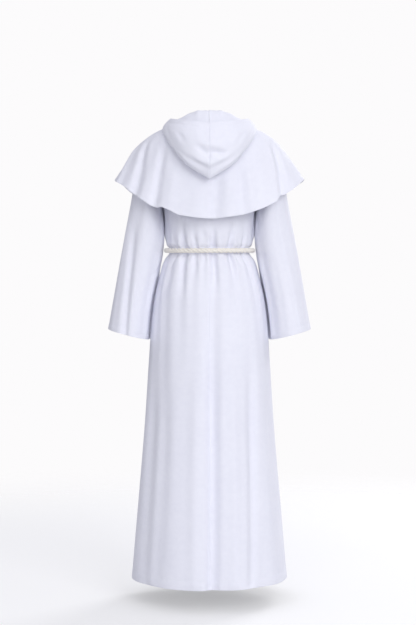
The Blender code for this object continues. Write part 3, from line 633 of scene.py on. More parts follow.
def hood_point(turn, place):
    """Point on the hood's outside, from the neck seam (0) to the face edge (HOOD_POINTS)."""
    sine = np.sin(np.radians(turn))
    cosine = np.cos(np.radians(turn))
    neck_depth = np.where(cosine > 0, NECK_BACK, NECK_FRONT)
    neck = 1 / np.hypot(sine / NECK_HALF_WIDTH, cosine / neck_depth)
    outs = [neck + SOLID_WALL]
    heights = [neck_height(neck * cosine) + CAPE_ON_NECK + HOOD_ON_CAPE]
    turned = np.abs(turn)
    for point in range(HOOD_POINTS):
        outs.append(smooth(HOOD, 1 + 2 * point, turned) * MM)
        heights.append(smooth(HOOD, 2 + 2 * point, turned) * MM)
    out = curve_through(outs, place)
    height = curve_through(heights, place)
    return np.stack((out * sine, out * cosine, height), axis=-1)


def curve_through(values, place):
    """Value at a place on a rounded curve through the given values, one apart."""
    values = [2 * values[0] - values[1]] + list(values) + [2 * values[-1] - values[-2]]
    values = np.stack([value + 0 * place for value in values])
    row = np.clip(np.floor(place).astype(int), 0, len(values) - 4)
    t = place - row
    before, start, end, after = (
        np.take_along_axis(values, (row + step)[None], axis=0)[0] for step in range(4)
    )
    pull = (end - before) / 2
    push = (after - start) / 2
    first = (2 * t ** 3 - 3 * t ** 2 + 1) * start + (t ** 3 - 2 * t ** 2 + t) * pull
    last = (3 * t ** 2 - 2 * t ** 3) * end + (t ** 3 - t ** 2) * push
    return first + last


def robe_chart(turn, height):
    """Distances in mm round the robe and up it."""
    round_it = (smooth(BODY, 1, height) + smooth(BODY, 2, height)) / 2
    return np.radians(turn) * round_it / MM, height / MM


def sleeve_chart(angle, place):
    """Distances in mm round a sleeve and down it."""
    return np.radians(angle) * smooth(SLEEVE, 5, place) / MM, place * SLEEVE_PLACE / MM


def cape_chart(turn, place):
    """Distances in mm round the cape and down it."""
    round_it = (smooth(CAPE, 1, place) + smooth(CAPE, 3, place)) / 2
    return np.radians(turn) * round_it / MM, place * CAPE_LENGTH / MM


def hood_chart(turn, place):
    """Distances in mm round the hood and along it from the neck seam."""
    turned = np.abs(turn)
    outs = [NECK_BACK + 0 * place]
    for point in range(HOOD_POINTS):
        outs.append(smooth(HOOD, 1 + 2 * point, turned) * MM)
    return np.radians(turn) * curve_through(outs, place) / MM, place * HOOD_PLACE / MM


def crease_depth(first, second, chart, creases):
    """Inward depth of soft troughs, and of ridges where it is below 0, on a grid of surface places."""
    across, along = chart(first, second)
    depth = np.zeros(across.shape)
    share = np.linspace(0, 1, PATH_STEPS)[:, None]
    for row in creases:
        places = np.array(row[:6], dtype=float).reshape(3, 2)
        deep, wide, at_start, at_end = row[6:]
        bend = 2 * places[1] - (places[0] + places[2]) / 2
        path = (1 - share) ** 2 * places[0] + 2 * share * (1 - share) * bend + share ** 2 * places[2]
        path = np.stack(chart(path[:, 0], path[:, 1]), axis=-1)
        reach = 4 * wide
        low = path.min(axis=0) - reach
        high = path.max(axis=0) + reach
        near = (across > low[0]) & (across < high[0]) & (along > low[1]) & (along < high[1])
        spots = np.stack((across[near], along[near]), axis=-1)
        best = np.full(len(spots), np.inf)
        done = np.zeros(len(spots))
        for step in range(PATH_STEPS - 1):
            run = path[step + 1] - path[step]
            part = np.clip((spots - path[step]) @ run / (run @ run), 0, 1)
            gap = np.linalg.norm(spots - path[step] - part[:, None] * run, axis=1)
            closer = gap < best
            best[closer] = gap[closer]
            done[closer] = (step + part[closer]) / (PATH_STEPS - 1)
        fade = at_start + (1 - at_start) * ease(done / 0.4)
        fade = fade * (at_end + (1 - at_end) * ease((1 - done) / 0.6))
        spread = (best / wide) ** 2
        depth[near] += deep * MM * fade * (1 - 0.55 * spread) * np.exp(-spread / 2)
    return depth


def small_gathers(first_turn, last_turn):
    """Short creases above and below the rope, uneven in length, depth and spacing."""
    chance = np.random.default_rng(GATHER_SEED + int(first_turn) % 360)
    rows = []
    for edge, way in ((BELT_HEIGHT + 0.0075, 1), (BELT_HEIGHT - 0.0075, -1)):
        turn = first_turn + chance.uniform(1, 3)
        while turn < last_turn - 1:
            long = chance.uniform(*GATHER_LENGTHS)
            deep = chance.uniform(*GATHER_DEPTHS)
            lean = chance.uniform(-2.0, 2.0)
            rows.append((
                turn, edge, turn + lean / 3, edge + way * long / 2, turn + lean, edge + way * long,
                deep, GATHER_HALF_WIDTH, 1.0, 0.0,
            ))
            turn += GATHER_SPACING * chance.uniform(0.6, 1.4)
    return tuple(rows)


def stops(start, end, count, extras=()):
    """Values from start to end at even steps, with extra ones put in and their close neighbours left out."""
    even = np.linspace(start, end, count + 1)
    extras = np.array(sorted(extras), dtype=float)
    if not len(extras):
        return even
    step = abs(end - start) / count
    gaps = np.abs(even[:, None] - extras[None]).min(axis=1)
    kept = even[(gaps > 0.35 * step) | (even == start) | (even == end)]
    made = np.unique(np.concatenate((kept, extras)))
    return made if start < end else made[::-1]


def outward(grid, closed=False):
    """Unit normals of a grid of points."""
    rows = np.gradient(grid, axis=0)
    if closed:
        columns = (np.roll(grid, -1, axis=1) - np.roll(grid, 1, axis=1)) / 2
    else:
        columns = np.gradient(grid, axis=1)
    return unit(np.cross(rows, columns))


def edge_distance(grid, axis, last=False):
    """Distance over the cloth from the first or last row or column of a grid."""
    steps = np.linalg.norm(np.diff(grid, axis=axis), axis=-1)
    total = np.cumsum(steps, axis=axis)
    nothing = np.zeros_like(np.take(total, [0], axis=axis))
    distance = np.concatenate((nothing, total), axis=axis)
    if last:
        distance = np.take(distance, [-1], axis=axis) - distance
    return distance


def seam_dip(distance, deep=SEAM_DIP):
    """Inward depth of the cloth as it turns in to a seam."""
    return deep * np.exp(-((distance / SEAM_REACH) ** 2))


def hem_rise(distance, deep):
    """Outward rise of a turned hem of the given depth, with the groove that its stitches pull."""
    folded = HEM_FOLD * ease((deep + 0.0006 - distance) / 0.0012)
    groove = 0.0005 * np.exp(-(((distance - deep + HEM_TO_STITCH) / 0.0010) ** 2))
    edge = 0.0005 * np.exp(-((distance / 0.0009) ** 2))
    return folded - groove - edge


def cloth_mesh(name, outside, round_it, down_it, closed=False):
    """A thin shell of cloth inside a grid of outer points, with a map of its place on the flat cloth in metres."""
    rows, columns = outside.shape[:2]
    inside = outside - CLOTH * outward(outside, closed)
    points = np.concatenate((outside.reshape(-1, 3), inside.reshape(-1, 3)))
    points[:, 2] -= MOUNT_HEIGHT
    spots = np.arange(rows * columns).reshape(rows, columns)
    if closed:
        spots = np.concatenate((spots, spots[:, :1]), axis=1)
    a, b = spots[:-1, :-1].ravel(), spots[:-1, 1:].ravel()
    c, d = spots[1:, 1:].ravel(), spots[1:, :-1].ravel()
    under = rows * columns
    faces = [np.stack((a, b, c, d), axis=1), np.stack((d, c, b, a), axis=1) + under]
    rims = [(spots[0], True), (spots[-1], False)]
    if not closed:
        rims += [(spots[:, 0], False), (spots[:, -1], True)]
    for line, turned in rims:
        one, two = (line[1:], line[:-1]) if turned else (line[:-1], line[1:])
        faces.append(np.stack((one, two, two + under, one + under), axis=1))
    faces = np.concatenate(faces)
    mesh = bpy.data.meshes.new(name)
    mesh.vertices.add(len(points))
    mesh.vertices.foreach_set("co", points.ravel())
    mesh.loops.add(faces.size)
    mesh.loops.foreach_set("vertex_index", faces.ravel())
    mesh.polygons.add(len(faces))
    mesh.polygons.foreach_set("loop_start", np.arange(0, faces.size, 4))
    flat = np.stack((round_it.ravel(), down_it.ravel()), axis=1) * MM
    flat = np.concatenate((flat, flat))
    mesh.uv_layers.new(name="cloth").data.foreach_set("uv", flat[faces.ravel()].ravel())
    mesh.update(calc_edges=True)
    mesh.validate()
    mesh.shade_smooth()
    mesh.set_sharp_from_angle(angle=math.radians(50))
    piece = bpy.data.objects.new(name, mesh)
    bpy.context.collection.objects.link(piece)
    return piece


def body_rows():
    """Heights of the robe's rows below the armpits, closer at the hem and at the belt."""
    hem = [HEM_HEIGHT + stop * MM for stop in HEM_EDGE_STOPS]
    hem += [HEM_HEIGHT + ROBE_HEM + stop * MM for stop in HEM_LINE_STOPS]
    low, high = BELT_BAND
    return np.concatenate((
        stops(HEM_HEIGHT, low, round((low - HEM_HEIGHT) / BODY_STEP), hem)[:-1],
        stops(low, high, round((high - low) / BELT_STEP))[:-1],
        stops(high, ARMPIT_HEIGHT, round((ARMPIT_HEIGHT - high) / BODY_STEP)),
    ))


def side_columns(count, first_edge, last_edge):
    """Turns from 0 to 90, closer beside the seams at either end where asked."""
    mean_radius = 0.17
    extras = []
    for stop in SEAM_STOPS:
        turn = math.degrees(stop * MM / mean_radius)
        if first_edge:
            extras.append(turn)
        if last_edge:
            extras.append(90 - turn)
    return stops(0, 90, count, extras)


def keep_off_rope(rise, height):
    """Rise off the robe's plain form, held to nothing under the rope."""
    clear = ease((np.abs(height - BELT_HEIGHT) - 0.008) / 0.016)
    return np.where(rise > 0, rise * clear, rise)


def make_back(side, name):
    """One back panel, from the centre back seam to the side seam and armhole."""
    quarter = side_columns(BACK_COLUMNS, True, True)
    heights = body_rows()
    turns = np.meshgrid(side * quarter, heights)[0]
    below = robe_point(turns, heights[:, None] + 0 * turns)
    below[..., 0] *= side
    above = yoke(True, quarter, YOKE_ROWS)[1:]
    outside = np.concatenate((below, above))
    tall = np.concatenate((heights, np.full(len(above), ARMPIT_HEIGHT)))
    up = edge_distance(outside, 0)
    height = np.where(np.arange(len(tall))[:, None] < len(heights), tall[:, None], HEM_HEIGHT + up)
    turns = (side * quarter)[None] + 0 * height
    creases = BACK_CREASES + small_gathers(-90, 90)
    rise = -crease_depth(turns, height, robe_chart, creases)
    rise = keep_off_rope(rise, height)
    rise = rise * ease((1.30 - height) / 0.12) + hem_rise(up, ROBE_HEM)
    rise -= seam_dip(edge_distance(outside, 1)) + seam_dip(edge_distance(outside, 1, last=True))
    normals = outward(outside)
    normals[:, 0, 0] = 0
    outside = outside + rise[..., None] * unit(normals)
    outside = outside + np.array((CLOTH_GAP / 2, CLOTH_GAP / 2, 0))
    if side < 0:
        outside = (outside * np.array((-1, 1, 1)))[:, ::-1]
        turns = turns[:, ::-1]
        height = height[:, ::-1]
    piece = cloth_mesh(name, outside, *robe_chart(turns, np.minimum(height, ARMPIT_HEIGHT)))
    return piece, outside


def make_front(side, name):
    """The front panel, in one piece from side seam to side seam."""
    quarter = side_columns(FRONT_COLUMNS // 2, False, True)
    heights = body_rows()
    halves = []
    for side in (1, -1):
        turns, tall = np.meshgrid(side * (180 - quarter), heights)
        below = robe_point(turns, tall)
        below[..., 0] *= side
        half = np.concatenate((below, yoke(False, quarter, YOKE_ROWS)[1:]))
        halves.append(half * np.array((side, 1, 1)))
    left, right = halves
    outside = np.concatenate((left[:, ::-1], right[:, 1:]), axis=1)
    round_it = np.concatenate((180 - quarter[::-1], 180 + quarter[1:]))
    up = edge_distance(outside, 0)
    below_pit = np.arange(len(up))[:, None] < len(heights)
    height = np.where(below_pit, np.resize(heights, len(up))[:, None], HEM_HEIGHT + up)
    turns = round_it[None] + 0 * height
    creases = FRONT_CREASES + small_gathers(90, 270)
    rise = keep_off_rope(-crease_depth(turns, height, robe_chart, creases), height)
    rise = rise * ease((1.36 - height) / 0.10) + hem_rise(up, ROBE_HEM)
    rise -= seam_dip(edge_distance(outside, 1)) + seam_dip(edge_distance(outside, 1, last=True))
    outside = outside + rise[..., None] * outward(outside) - np.array((0, CLOTH_GAP / 2, 0))
    piece = cloth_mesh(name, outside, *robe_chart(turns, np.minimum(height, ARMPIT_HEIGHT)))
    return piece, outside


def make_sleeve(side, name):
    """A bell sleeve, set to the armhole across the seam gap."""
    _, _, out = armhole_frame()
    hem = [SLEEVE_END - (CUFF_HEM + stop * MM) / SLEEVE_PLACE for stop in HEM_LINE_STOPS]
    hem += [SLEEVE_END - stop * MM / SLEEVE_PLACE for stop in HEM_EDGE_STOPS]
    seam = [stop * MM / SLEEVE_PLACE for stop in SEAM_STOPS]
    places = stops(0, SLEEVE_END, SLEEVE_ROWS, hem + seam)
    angles = np.arange(SLEEVE_COLUMNS) * 360 / SLEEVE_COLUMNS
    angles, places = np.meshgrid(angles, places)
    outside = sleeve_point(angles, places, side)
    signed = away(angles, 0)
    creases = tuple(row[1:] for row in SLEEVE_CREASES if row[0] == side)
    rise = -crease_depth(signed, places, sleeve_chart, creases)
    rise += hem_rise(edge_distance(outside, 0, last=True), CUFF_HEM)
    rise -= seam_dip(edge_distance(outside, 0))
    normals = outward(outside, closed=True)
    outside = outside + rise[..., None] * normals + SLEEVE_GAP * out
    if side < 0:
        outside = (outside * np.array((-1, 1, 1)))[:, ::-1]
        angles = angles[:, ::-1]
    piece = cloth_mesh(name, outside, *sleeve_chart(angles, places), closed=True)
    return piece, outside


def make_cape(side, name):
    """Half of the shoulder cape, from the centre back seam to the centre front seam."""
    hem = [1 - (CAPE_HEM + stop * MM) / CAPE_LENGTH for stop in HEM_LINE_STOPS]
    hem += [1 - stop * MM / CAPE_LENGTH for stop in HEM_EDGE_STOPS]
    seam = [math.degrees(stop * MM / 0.15) for stop in SEAM_STOPS]
    turns = stops(0, 180, CAPE_COLUMNS, seam + [180 - turn for turn in seam])
    turns, places = np.meshgrid(side * turns, stops(1, 0, CAPE_ROWS, hem))
    outside = cape_point(turns, places) * np.array((side, 1, 1))
    rise = -crease_depth(turns, places, cape_chart, CAPE_CREASES)
    rise += hem_rise(edge_distance(outside, 0), CAPE_HEM)
    rise -= seam_dip(edge_distance(outside, 1)) + seam_dip(edge_distance(outside, 1, last=True))
    normals = outward(outside)
    normals[:, (0, -1), 0] = 0
    outside = outside + rise[..., None] * unit(normals) + np.array((CLOTH_GAP / 2, 0, 0))
    if side < 0:
        outside = (outside * np.array((-1, 1, 1)))[:, ::-1]
        turns = turns[:, ::-1]
    piece = cloth_mesh(name, outside, *cape_chart(turns, places))
    return piece, outside


def make_hood(side, name):
    """Half of the hood, from its middle seam behind to the throat."""
    hem = [HOOD_POINTS - (HOOD_HEM + stop * MM) / HOOD_PLACE for stop in HEM_LINE_STOPS]
    hem += [HOOD_POINTS - stop * MM / HOOD_PLACE for stop in HEM_EDGE_STOPS]
    seam = [math.degrees(stop * MM / 0.15) for stop in SEAM_STOPS]
    turns = stops(0, 180, HOOD_COLUMNS, seam)
    turns, places = np.meshgrid(side * turns, stops(0, HOOD_POINTS, HOOD_ROWS, hem))
    outside = hood_point(turns, places) * np.array((side, 1, 1))
    rise = -crease_depth(turns, places, hood_chart, HOOD_CREASES)
    rise += hem_rise(edge_distance(outside, 0, last=True), HOOD_HEM)
    from_middle = edge_distance(outside, 1)
    rise -= seam_dip(from_middle, HOOD_SEAM_DIP) + seam_dip(edge_distance(outside, 0))
    if side > 0:
        rise += FELL_RISE * ease((FELL_WIDTH + 0.001 - from_middle) / 0.0015)
    normals = outward(outside)
    normals[:, (0, -1), 0] = 0
    outside = outside + rise[..., None] * unit(normals) + np.array((SEAM_GAP / 2, 0, 0))
    if side < 0:
        outside = (outside * np.array((-1, 1, 1)))[:, ::-1]
        turns = turns[:, ::-1]
    piece = cloth_mesh(name, outside, *hood_chart(turns, places))
    return piece, outside


def dress(piece, node, material):
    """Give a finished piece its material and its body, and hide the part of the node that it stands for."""
    piece.data.materials.clear()
    piece.data.materials.append(material)
    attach(piece, "root")
    if node:
        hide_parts(node)


def line_object(name, points):
    """A chain of edges through points, for a node tree to follow."""
    mesh = bpy.data.meshes.new(name)
    lowered = np.asarray(points, dtype=float) - np.array((0, 0, MOUNT_HEIGHT))
    mesh.from_pydata(lowered.tolist(), [(i, i + 1) for i in range(len(points) - 1)], [])
    made = bpy.data.objects.new(name, mesh)
    bpy.context.collection.objects.link(made)
    return made


def add(tree, kind, inputs=None, **settings):
    """Add a node with its settings. inputs holds values or links by socket name or number."""
    made = tree.nodes.new(kind)
    for name, value in settings.items():
        setattr(made, name, value)
    for socket, value in (inputs or {}).items():
        if isinstance(value, bpy.types.NodeSocket):
            tree.links.new(value, made.inputs[socket])
        else:
            made.inputs[socket].default_value = value
    return made


def shape_tree(name, sizes):
    """A node tree that takes a line and named sizes, with its input node."""
    tree = bpy.data.node_groups.new(name, "GeometryNodeTree")
    tree.interface.new_socket("Line", in_out="INPUT", socket_type="NodeSocketGeometry")
    for size in sizes:
        tree.interface.new_socket(size, in_out="INPUT", socket_type="NodeSocketFloat")
    tree.interface.new_socket("Material", in_out="INPUT", socket_type="NodeSocketMaterial")
    tree.interface.new_socket("Shape", in_out="OUTPUT", socket_type="NodeSocketGeometry")
    return tree, add(tree, "NodeGroupInput").outputs


def end_tree(tree, shape, material):
    """Realize what a tree has made, give it its material and put it out."""
    real = add(tree, "GeometryNodeRealizeInstances", {0: shape})
    painted = add(tree, "GeometryNodeSetMaterial", {"Geometry": real.outputs[0], "Material": material})
    smooth_shape = add(tree, "GeometryNodeSetShadeSmooth", {0: painted.outputs[0]})
    add(tree, "NodeGroupOutput", {0: smooth_shape.outputs[0]})


def stitch_tree():
    """Stitches along a line: a short rounded length of thread at each step, turned along the line."""
    tree, given = shape_tree("stitches", ("Spacing", "Length", "Thread"))
    line = add(tree, "GeometryNodeMeshToCurve", {"Mesh": given["Line"]})
    steps = add(tree, "GeometryNodeResampleCurve", {"Curve": line.outputs[0], "Length": given["Spacing"]},
                mode="LENGTH")
    bead = add(tree, "GeometryNodeMeshUVSphere", {"Segments": 6, "Rings": 4, "Radius": 0.5})
    size = add(tree, "ShaderNodeCombineXYZ", {0: given["Length"], 1: given["Thread"], 2: given["Thread"]})
    stitch = add(tree, "GeometryNodeTransform", {"Geometry": bead.outputs["Mesh"], "Scale": size.outputs[0]})
    along = add(tree, "GeometryNodeInputTangent")
    turn = add(tree, "FunctionNodeAlignRotationToVector", {"Vector": along.outputs[0]}, axis="X")
    row = add(tree, "GeometryNodeInstanceOnPoints", {
        "Points": steps.outputs[0], "Instance": stitch.outputs[0], "Rotation": turn.outputs[0],
    })
    end_tree(tree, row.outputs[0], given["Material"])
    return tree


def rope_tree():
    """Twisted strands along a line. Two attributes map each strand: its length and the way round it."""
    tree, given = shape_tree("twisted_rope", ("Diameter", "Lay", "Ring"))
    line = add(tree, "GeometryNodeMeshToCurve", {"Mesh": given["Line"]})
    path = add(tree, "GeometryNodeResampleCurve", {"Curve": line.outputs[0], "Length": given["Ring"]},
               mode="LENGTH")
    place = add(tree, "GeometryNodeSplineParameter")
    twist = add(tree, "ShaderNodeMath", {0: place.outputs["Length"], 1: given["Lay"]}, operation="DIVIDE")
    whole = add(tree, "ShaderNodeMath", {0: twist.outputs[0], 1: math.tau}, operation="MULTIPLY")
    strand = add(tree, "ShaderNodeMath", {0: given["Diameter"], 1: STRAND_SHARE / 2}, operation="MULTIPLY")
    offset = add(tree, "ShaderNodeMath", {0: given["Diameter"], 1: (1 - STRAND_SHARE) / 2},
                 operation="MULTIPLY")
    sideways = add(tree, "GeometryNodeInputNormal")
    along = add(tree, "GeometryNodeInputTangent")
    arm = add(tree, "ShaderNodeVectorMath", {0: sideways.outputs[0], "Scale": offset.outputs[0]},
              operation="SCALE")
    ring = add(tree, "GeometryNodeCurvePrimitiveCircle", {"Resolution": 12, "Radius": strand.outputs[0]})
    around = add(tree, "GeometryNodeSplineParameter")
    marked = add(tree, "GeometryNodeStoreNamedAttribute", {
        "Geometry": ring.outputs[0], "Name": "strand_round", "Value": around.outputs["Factor"],
    }, data_type="FLOAT", domain="POINT")
    joined = add(tree, "GeometryNodeJoinGeometry")
    for number in range(STRANDS):
        angle = add(tree, "ShaderNodeMath", {0: whole.outputs[0], 1: number * math.tau / STRANDS},
                    operation="ADD")
        arm_turned = add(tree, "ShaderNodeVectorRotate", {
            "Vector": arm.outputs[0], "Axis": along.outputs[0], "Angle": angle.outputs[0],
        }, rotation_type="AXIS_ANGLE")
        measured = add(tree, "GeometryNodeStoreNamedAttribute", {
            "Geometry": path.outputs[0], "Name": "strand_length", "Value": place.outputs["Length"],
        }, data_type="FLOAT", domain="POINT")
        moved = add(tree, "GeometryNodeSetPosition", {
            "Geometry": measured.outputs[0], "Offset": arm_turned.outputs[0],
        })
        tube = add(tree, "GeometryNodeCurveToMesh", {
            "Curve": moved.outputs[0], "Profile Curve": marked.outputs[0], "Fill Caps": True,
        })
        tree.links.new(tube.outputs[0], joined.inputs[0])
    end_tree(tree, joined.outputs[0], given["Material"])
    return tree


def grow(name, points, tree, sizes, material):
    """Run a node tree on a line and keep its result as a plain mesh."""
    line = line_object(name + "_line", points)
    growth = line.modifiers.new("growth", "NODES")
    growth.node_group = tree
    values = dict(sizes, Material=material)
    for socket in tree.interface.items_tree:
        if socket.in_out == "INPUT" and socket.name in values:
            growth[socket.identifier] = values[socket.name]
    view = bpy.context.evaluated_depsgraph_get()
    mesh = bpy.data.meshes.new_from_object(line.evaluated_get(view))
    mesh.name = name
    bpy.data.objects.remove(line, do_unlink=True)
    piece = bpy.data.objects.new(name, mesh)
    bpy.context.collection.objects.link(piece)
    return piece


def make_stitches(name, outside, distance, last, thread, tree):
    """A row of stitches at a distance from a grid's first or last row, just proud of the cloth."""
    raised = outside + THREAD / 5 * outward(outside)
    gaps = edge_distance(outside, 0, last=last)
    if last:
        raised = raised[::-1]
        gaps = gaps[::-1]
    columns = np.arange(gaps.shape[1])
    above = (gaps < distance).sum(axis=0)
    share = (distance - gaps[above - 1, columns]) / (gaps[above, columns] - gaps[above - 1, columns])
    line = raised[above - 1, columns]
    line = line + share[:, None] * (raised[above, columns] - line)
    sizes = {"Spacing": STITCH_SPACING, "Length": STITCH_LENGTH, "Thread": THREAD}
    piece = grow(name, line, tree, sizes, thread)
    dress(piece, None, thread)
    return piece


def rounded_route(points, step):
    """Points a step apart on a smooth curve through the given points."""
    points = np.asarray(points, dtype=float)
    count = len(points) - 1
    length = np.linalg.norm(np.diff(points, axis=0), axis=1).sum()
    place = np.linspace(0, count, round(length / step) + 1)
    return np.stack([curve_through(list(points[:, axis]), place) for axis in range(3)], axis=1)


def belt_route():
    """Middle line of the rope round the waist, whose ends go into the knot at the front."""
    reach = ROPE_DIAMETER / 2 + ROPE_CLEARANCE
    width = float(smooth(BODY, 1, BELT_HEIGHT)) + reach
    depth = float(smooth(BODY, 2, BELT_HEIGHT)) + reach
    last = 180 - math.degrees(math.asin(BELT_IN_KNOT / width))
    turns = np.linspace(-last, last, 241)
    pull = ease((np.abs(turns) - KNOT_PULL_TURN) / (last - KNOT_PULL_TURN))
    y = depth * np.cos(np.radians(turns))
    y = y + pull * (knot_middle()[1] - y)
    return np.stack((width * np.sin(np.radians(turns)), y, BELT_HEIGHT + 0 * turns), axis=1)


def knot_middle():
    """Middle of the knot at the front of the belt."""
    depth = smooth(BODY, 3, BELT_HEIGHT) + ROPE_CLEARANCE + KNOT_SIZE[1]
    return (0.0, -float(depth), BELT_HEIGHT)


def rope_end_points(side, length, drift):
    """Route of a hanging rope end, down from the knot and along the skirt's front."""
    middle = knot_middle()
    top = BELT_HEIGHT - KNOT_SIZE[2] - SEAM_GAP
    route = []
    for share in np.linspace(0, 1, round(length / ROPE_END_STEP) + 1):
        height = top - share * length
        skirt = -float(smooth(BODY, 3, height)) - ROPE_END_OFFSET
        lean = min(1.0, share * length / ROPE_END_LEAN)
        x = side * ((ROPE_DIAMETER + ROPE_ENDS_APART) / 2 + drift * share)
        route.append((x, min(middle[1] * (1 - lean) + skirt * lean, skirt), height))
    return route


def wound(middle, radii, turns, axis, rise, start):
    """Route of a rope wound round an axis, as its knots are: radii across it, rise along it."""
    share = np.linspace(0, 1, round(turns * 40) + 1)
    angle = math.tau * (turns * share + start)
    first, second = [number for number in range(3) if number != axis]
    route = np.zeros((len(share), 3))
    route[:, first] = radii[0] * np.cos(angle)
    route[:, second] = radii[1] * np.sin(angle)
    route[:, axis] = rise * (share - 0.5)
    return route + np.array(middle)


def make_rope(name, node, route, diameter, rope, tree):
    """A twisted rope along a route."""
    sizes = {"Diameter": diameter, "Lay": LAY_LENGTH * diameter / ROPE_DIAMETER, "Ring": ROPE_RING}
    piece = grow(name, route, tree, sizes, rope)
    dress(piece, node, rope)
    return piece


def make_belt(rope, tree):
    """The rope round the waist, its knot, and its two hanging ends with a knot at each tip."""
    make_rope("belt_rope", "belt_loop", belt_route(), ROPE_DIAMETER, rope, tree)
    half = KNOT_ROPE / 2
    radii = (KNOT_SIZE[1] - half, KNOT_SIZE[2] - half + KNOT_OVER_ENDS)
    route = wound(knot_middle(), radii, 3.0, 0, 2 * (KNOT_SIZE[0] - half), 0.35)
    make_rope("belt_rope_knot", "belt_knot", route, KNOT_ROPE, rope, tree)
    for side_name, side, length, drift in ROPE_ENDS:
        points = rope_end_points(side, length, drift)
        route = rounded_route(points, ROPE_RING)
        x, y, z = route[-1]
        middle = (x, y - TIP_SIZE[1] + ROPE_DIAMETER / 2, z - TIP_SIZE[2] - SEAM_GAP)
        radius = TIP_SIZE[0] - half
        turned = wound(middle, (radius, radius), 2.2, 2, 2 * (TIP_SIZE[2] - half), 0.2)
        tip = make_rope("rope_tip_" + side_name, "belt_tip_" + side_name, turned, KNOT_ROPE, rope, tree)
        end = make_rope("rope_end_" + side_name, "belt_end_" + side_name, route, ROPE_DIAMETER, rope, tree)


def linear(colour):
    """An sRGB hex colour as linear red, green, blue and alpha."""
    parts = [int(colour[i:i + 2], 16) / 255 for i in (1, 3, 5)]
    return tuple(p / 12.92 if p <= 0.04045 else ((p + 0.055) / 1.055) ** 2.4 for p in parts) + (1.0,)


def new_material(name, roughness, **constants):
    """A material with its tree, its shader and the constants on the shader's own sockets."""
    made = bpy.data.materials.new(name)
    made.use_nodes = True
    shader = made.node_tree.nodes["Principled BSDF"]
    shader.inputs["Roughness"].default_value = roughness
    shader.inputs["Metallic"].default_value = 0
    for socket, value in constants.items():
        shader.inputs[socket.replace("_", " ")].default_value = value
    return made, made.node_tree, shader


def bands(size):
    """A wave texture's scale for bands that repeat at a real size in metres."""
    return math.tau / 20 / size


def woven_cloth():
    """Plain-woven polyester and cotton: matt, cool white, with a faint nap and soft unevenness."""
    made, tree, shader = new_material("woven_polyester_cotton", 0.88, Sheen_Weight=0.12, Sheen_Roughness=0.5,
                                      Specular_IOR_Level=0.25, IOR=1.5)
    flat = add(tree, "ShaderNodeUVMap", uv_map="cloth").outputs[0]
    # Threads are 0.4 mm apart in the real cloth, drawn 1.2 mm apart so that the weave shows
    thread = bands(1.2 * MM)
    warp = add(tree, "ShaderNodeTexWave", {"Vector": flat, "Scale": thread, "Distortion": 0.6, "Detail": 1.0,
                                           "Detail Scale": 0.4}, bands_direction="X")
    weft = add(tree, "ShaderNodeTexWave", {"Vector": flat, "Scale": thread, "Distortion": 0.6, "Detail": 1.0,
                                           "Detail Scale": 0.4}, bands_direction="Y")
    weave = add(tree, "ShaderNodeMath", {0: warp.outputs["Fac"], 1: weft.outputs["Fac"]},
                operation="MULTIPLY")
    # Slubs and handling marks 15 mm across, and slow unevenness 120 mm across
    slub = add(tree, "ShaderNodeTexNoise", {"Vector": flat, "Scale": 1 / 0.015, "Detail": 3.0})
    slow = add(tree, "ShaderNodeTexNoise", {"Vector": flat, "Scale": 1 / 0.120, "Detail": 2.0})
    mixed = add(tree, "ShaderNodeMath", {0: slub.outputs["Fac"], 1: slow.outputs["Fac"]}, operation="ADD")
    tone = add(tree, "ShaderNodeMapRange", {"Value": mixed.outputs[0], "From Min": 0.7, "From Max": 1.3})
    colour = add(tree, "ShaderNodeMix", {"Factor": tone.outputs[0], "A": linear("#EAEBF6"),
                                         "B": linear("#EEEFF9")}, data_type="RGBA")
    tree.links.new(colour.outputs["Result"], shader.inputs["Base Color"])
    fine = add(tree, "ShaderNodeBump", {"Height": weave.outputs[0], "Strength": 0.25, "Distance": 0.15 * MM})
    soft = add(tree, "ShaderNodeBump", {"Height": slub.outputs["Fac"], "Strength": 0.3, "Distance": 0.35 * MM,
                                        "Normal": fine.outputs[0]})
    tree.links.new(soft.outputs[0], shader.inputs["Normal"])
    return made


def cotton_rope():
    """Soft cotton strands: off-white, matt, fine yarns laid slantwise, and painted shade between the yarns."""
    made, tree, shader = new_material("twisted_cotton", 0.92, Sheen_Weight=0.2, Sheen_Roughness=0.6,
                                      Specular_IOR_Level=0.2, IOR=1.5)
    long = add(tree, "ShaderNodeAttribute", attribute_name="strand_length")
    around = add(tree, "ShaderNodeAttribute", attribute_name="strand_round")
    # Six yarns round a strand, each advancing 16 mm in one turn
    slant = add(tree, "ShaderNodeMath", {0: long.outputs["Fac"], 1: 1 / (16 * MM)}, operation="MULTIPLY")
    place = add(tree, "ShaderNodeMath", {0: around.outputs["Fac"], 1: slant.outputs[0]},
                operation="SUBTRACT")
    spun = add(tree, "ShaderNodeMath", {0: place.outputs[0], 1: 6 * math.tau}, operation="MULTIPLY")
    yarn = add(tree, "ShaderNodeMath", {0: spun.outputs[0]}, operation="SINE")
    level = add(tree, "ShaderNodeMapRange", {"Value": yarn.outputs[0], "From Min": -1.0, "From Max": 1.0})
    where = add(tree, "ShaderNodeTexCoord").outputs["Object"]
    fluff = add(tree, "ShaderNodeTexNoise", {"Vector": where, "Scale": 1 / 0.0012, "Detail": 3.0})
    mixed = add(tree, "ShaderNodeMath", {0: level.outputs[0], 1: fluff.outputs["Fac"]}, operation="MULTIPLY")
    # Darker where the yarns' height is low: painted shade in the grooves, times the fluff's random tone
    colour = add(tree, "ShaderNodeMix", {"Factor": mixed.outputs[0], "A": linear("#F0EBE1"),
                                         "B": linear("#FFFDF9")}, data_type="RGBA")
    tree.links.new(colour.outputs["Result"], shader.inputs["Base Color"])
    bump = add(tree, "ShaderNodeBump", {"Height": mixed.outputs[0], "Strength": 0.6, "Distance": 0.5 * MM})
    tree.links.new(bump.outputs[0], shader.inputs["Normal"])
    return made


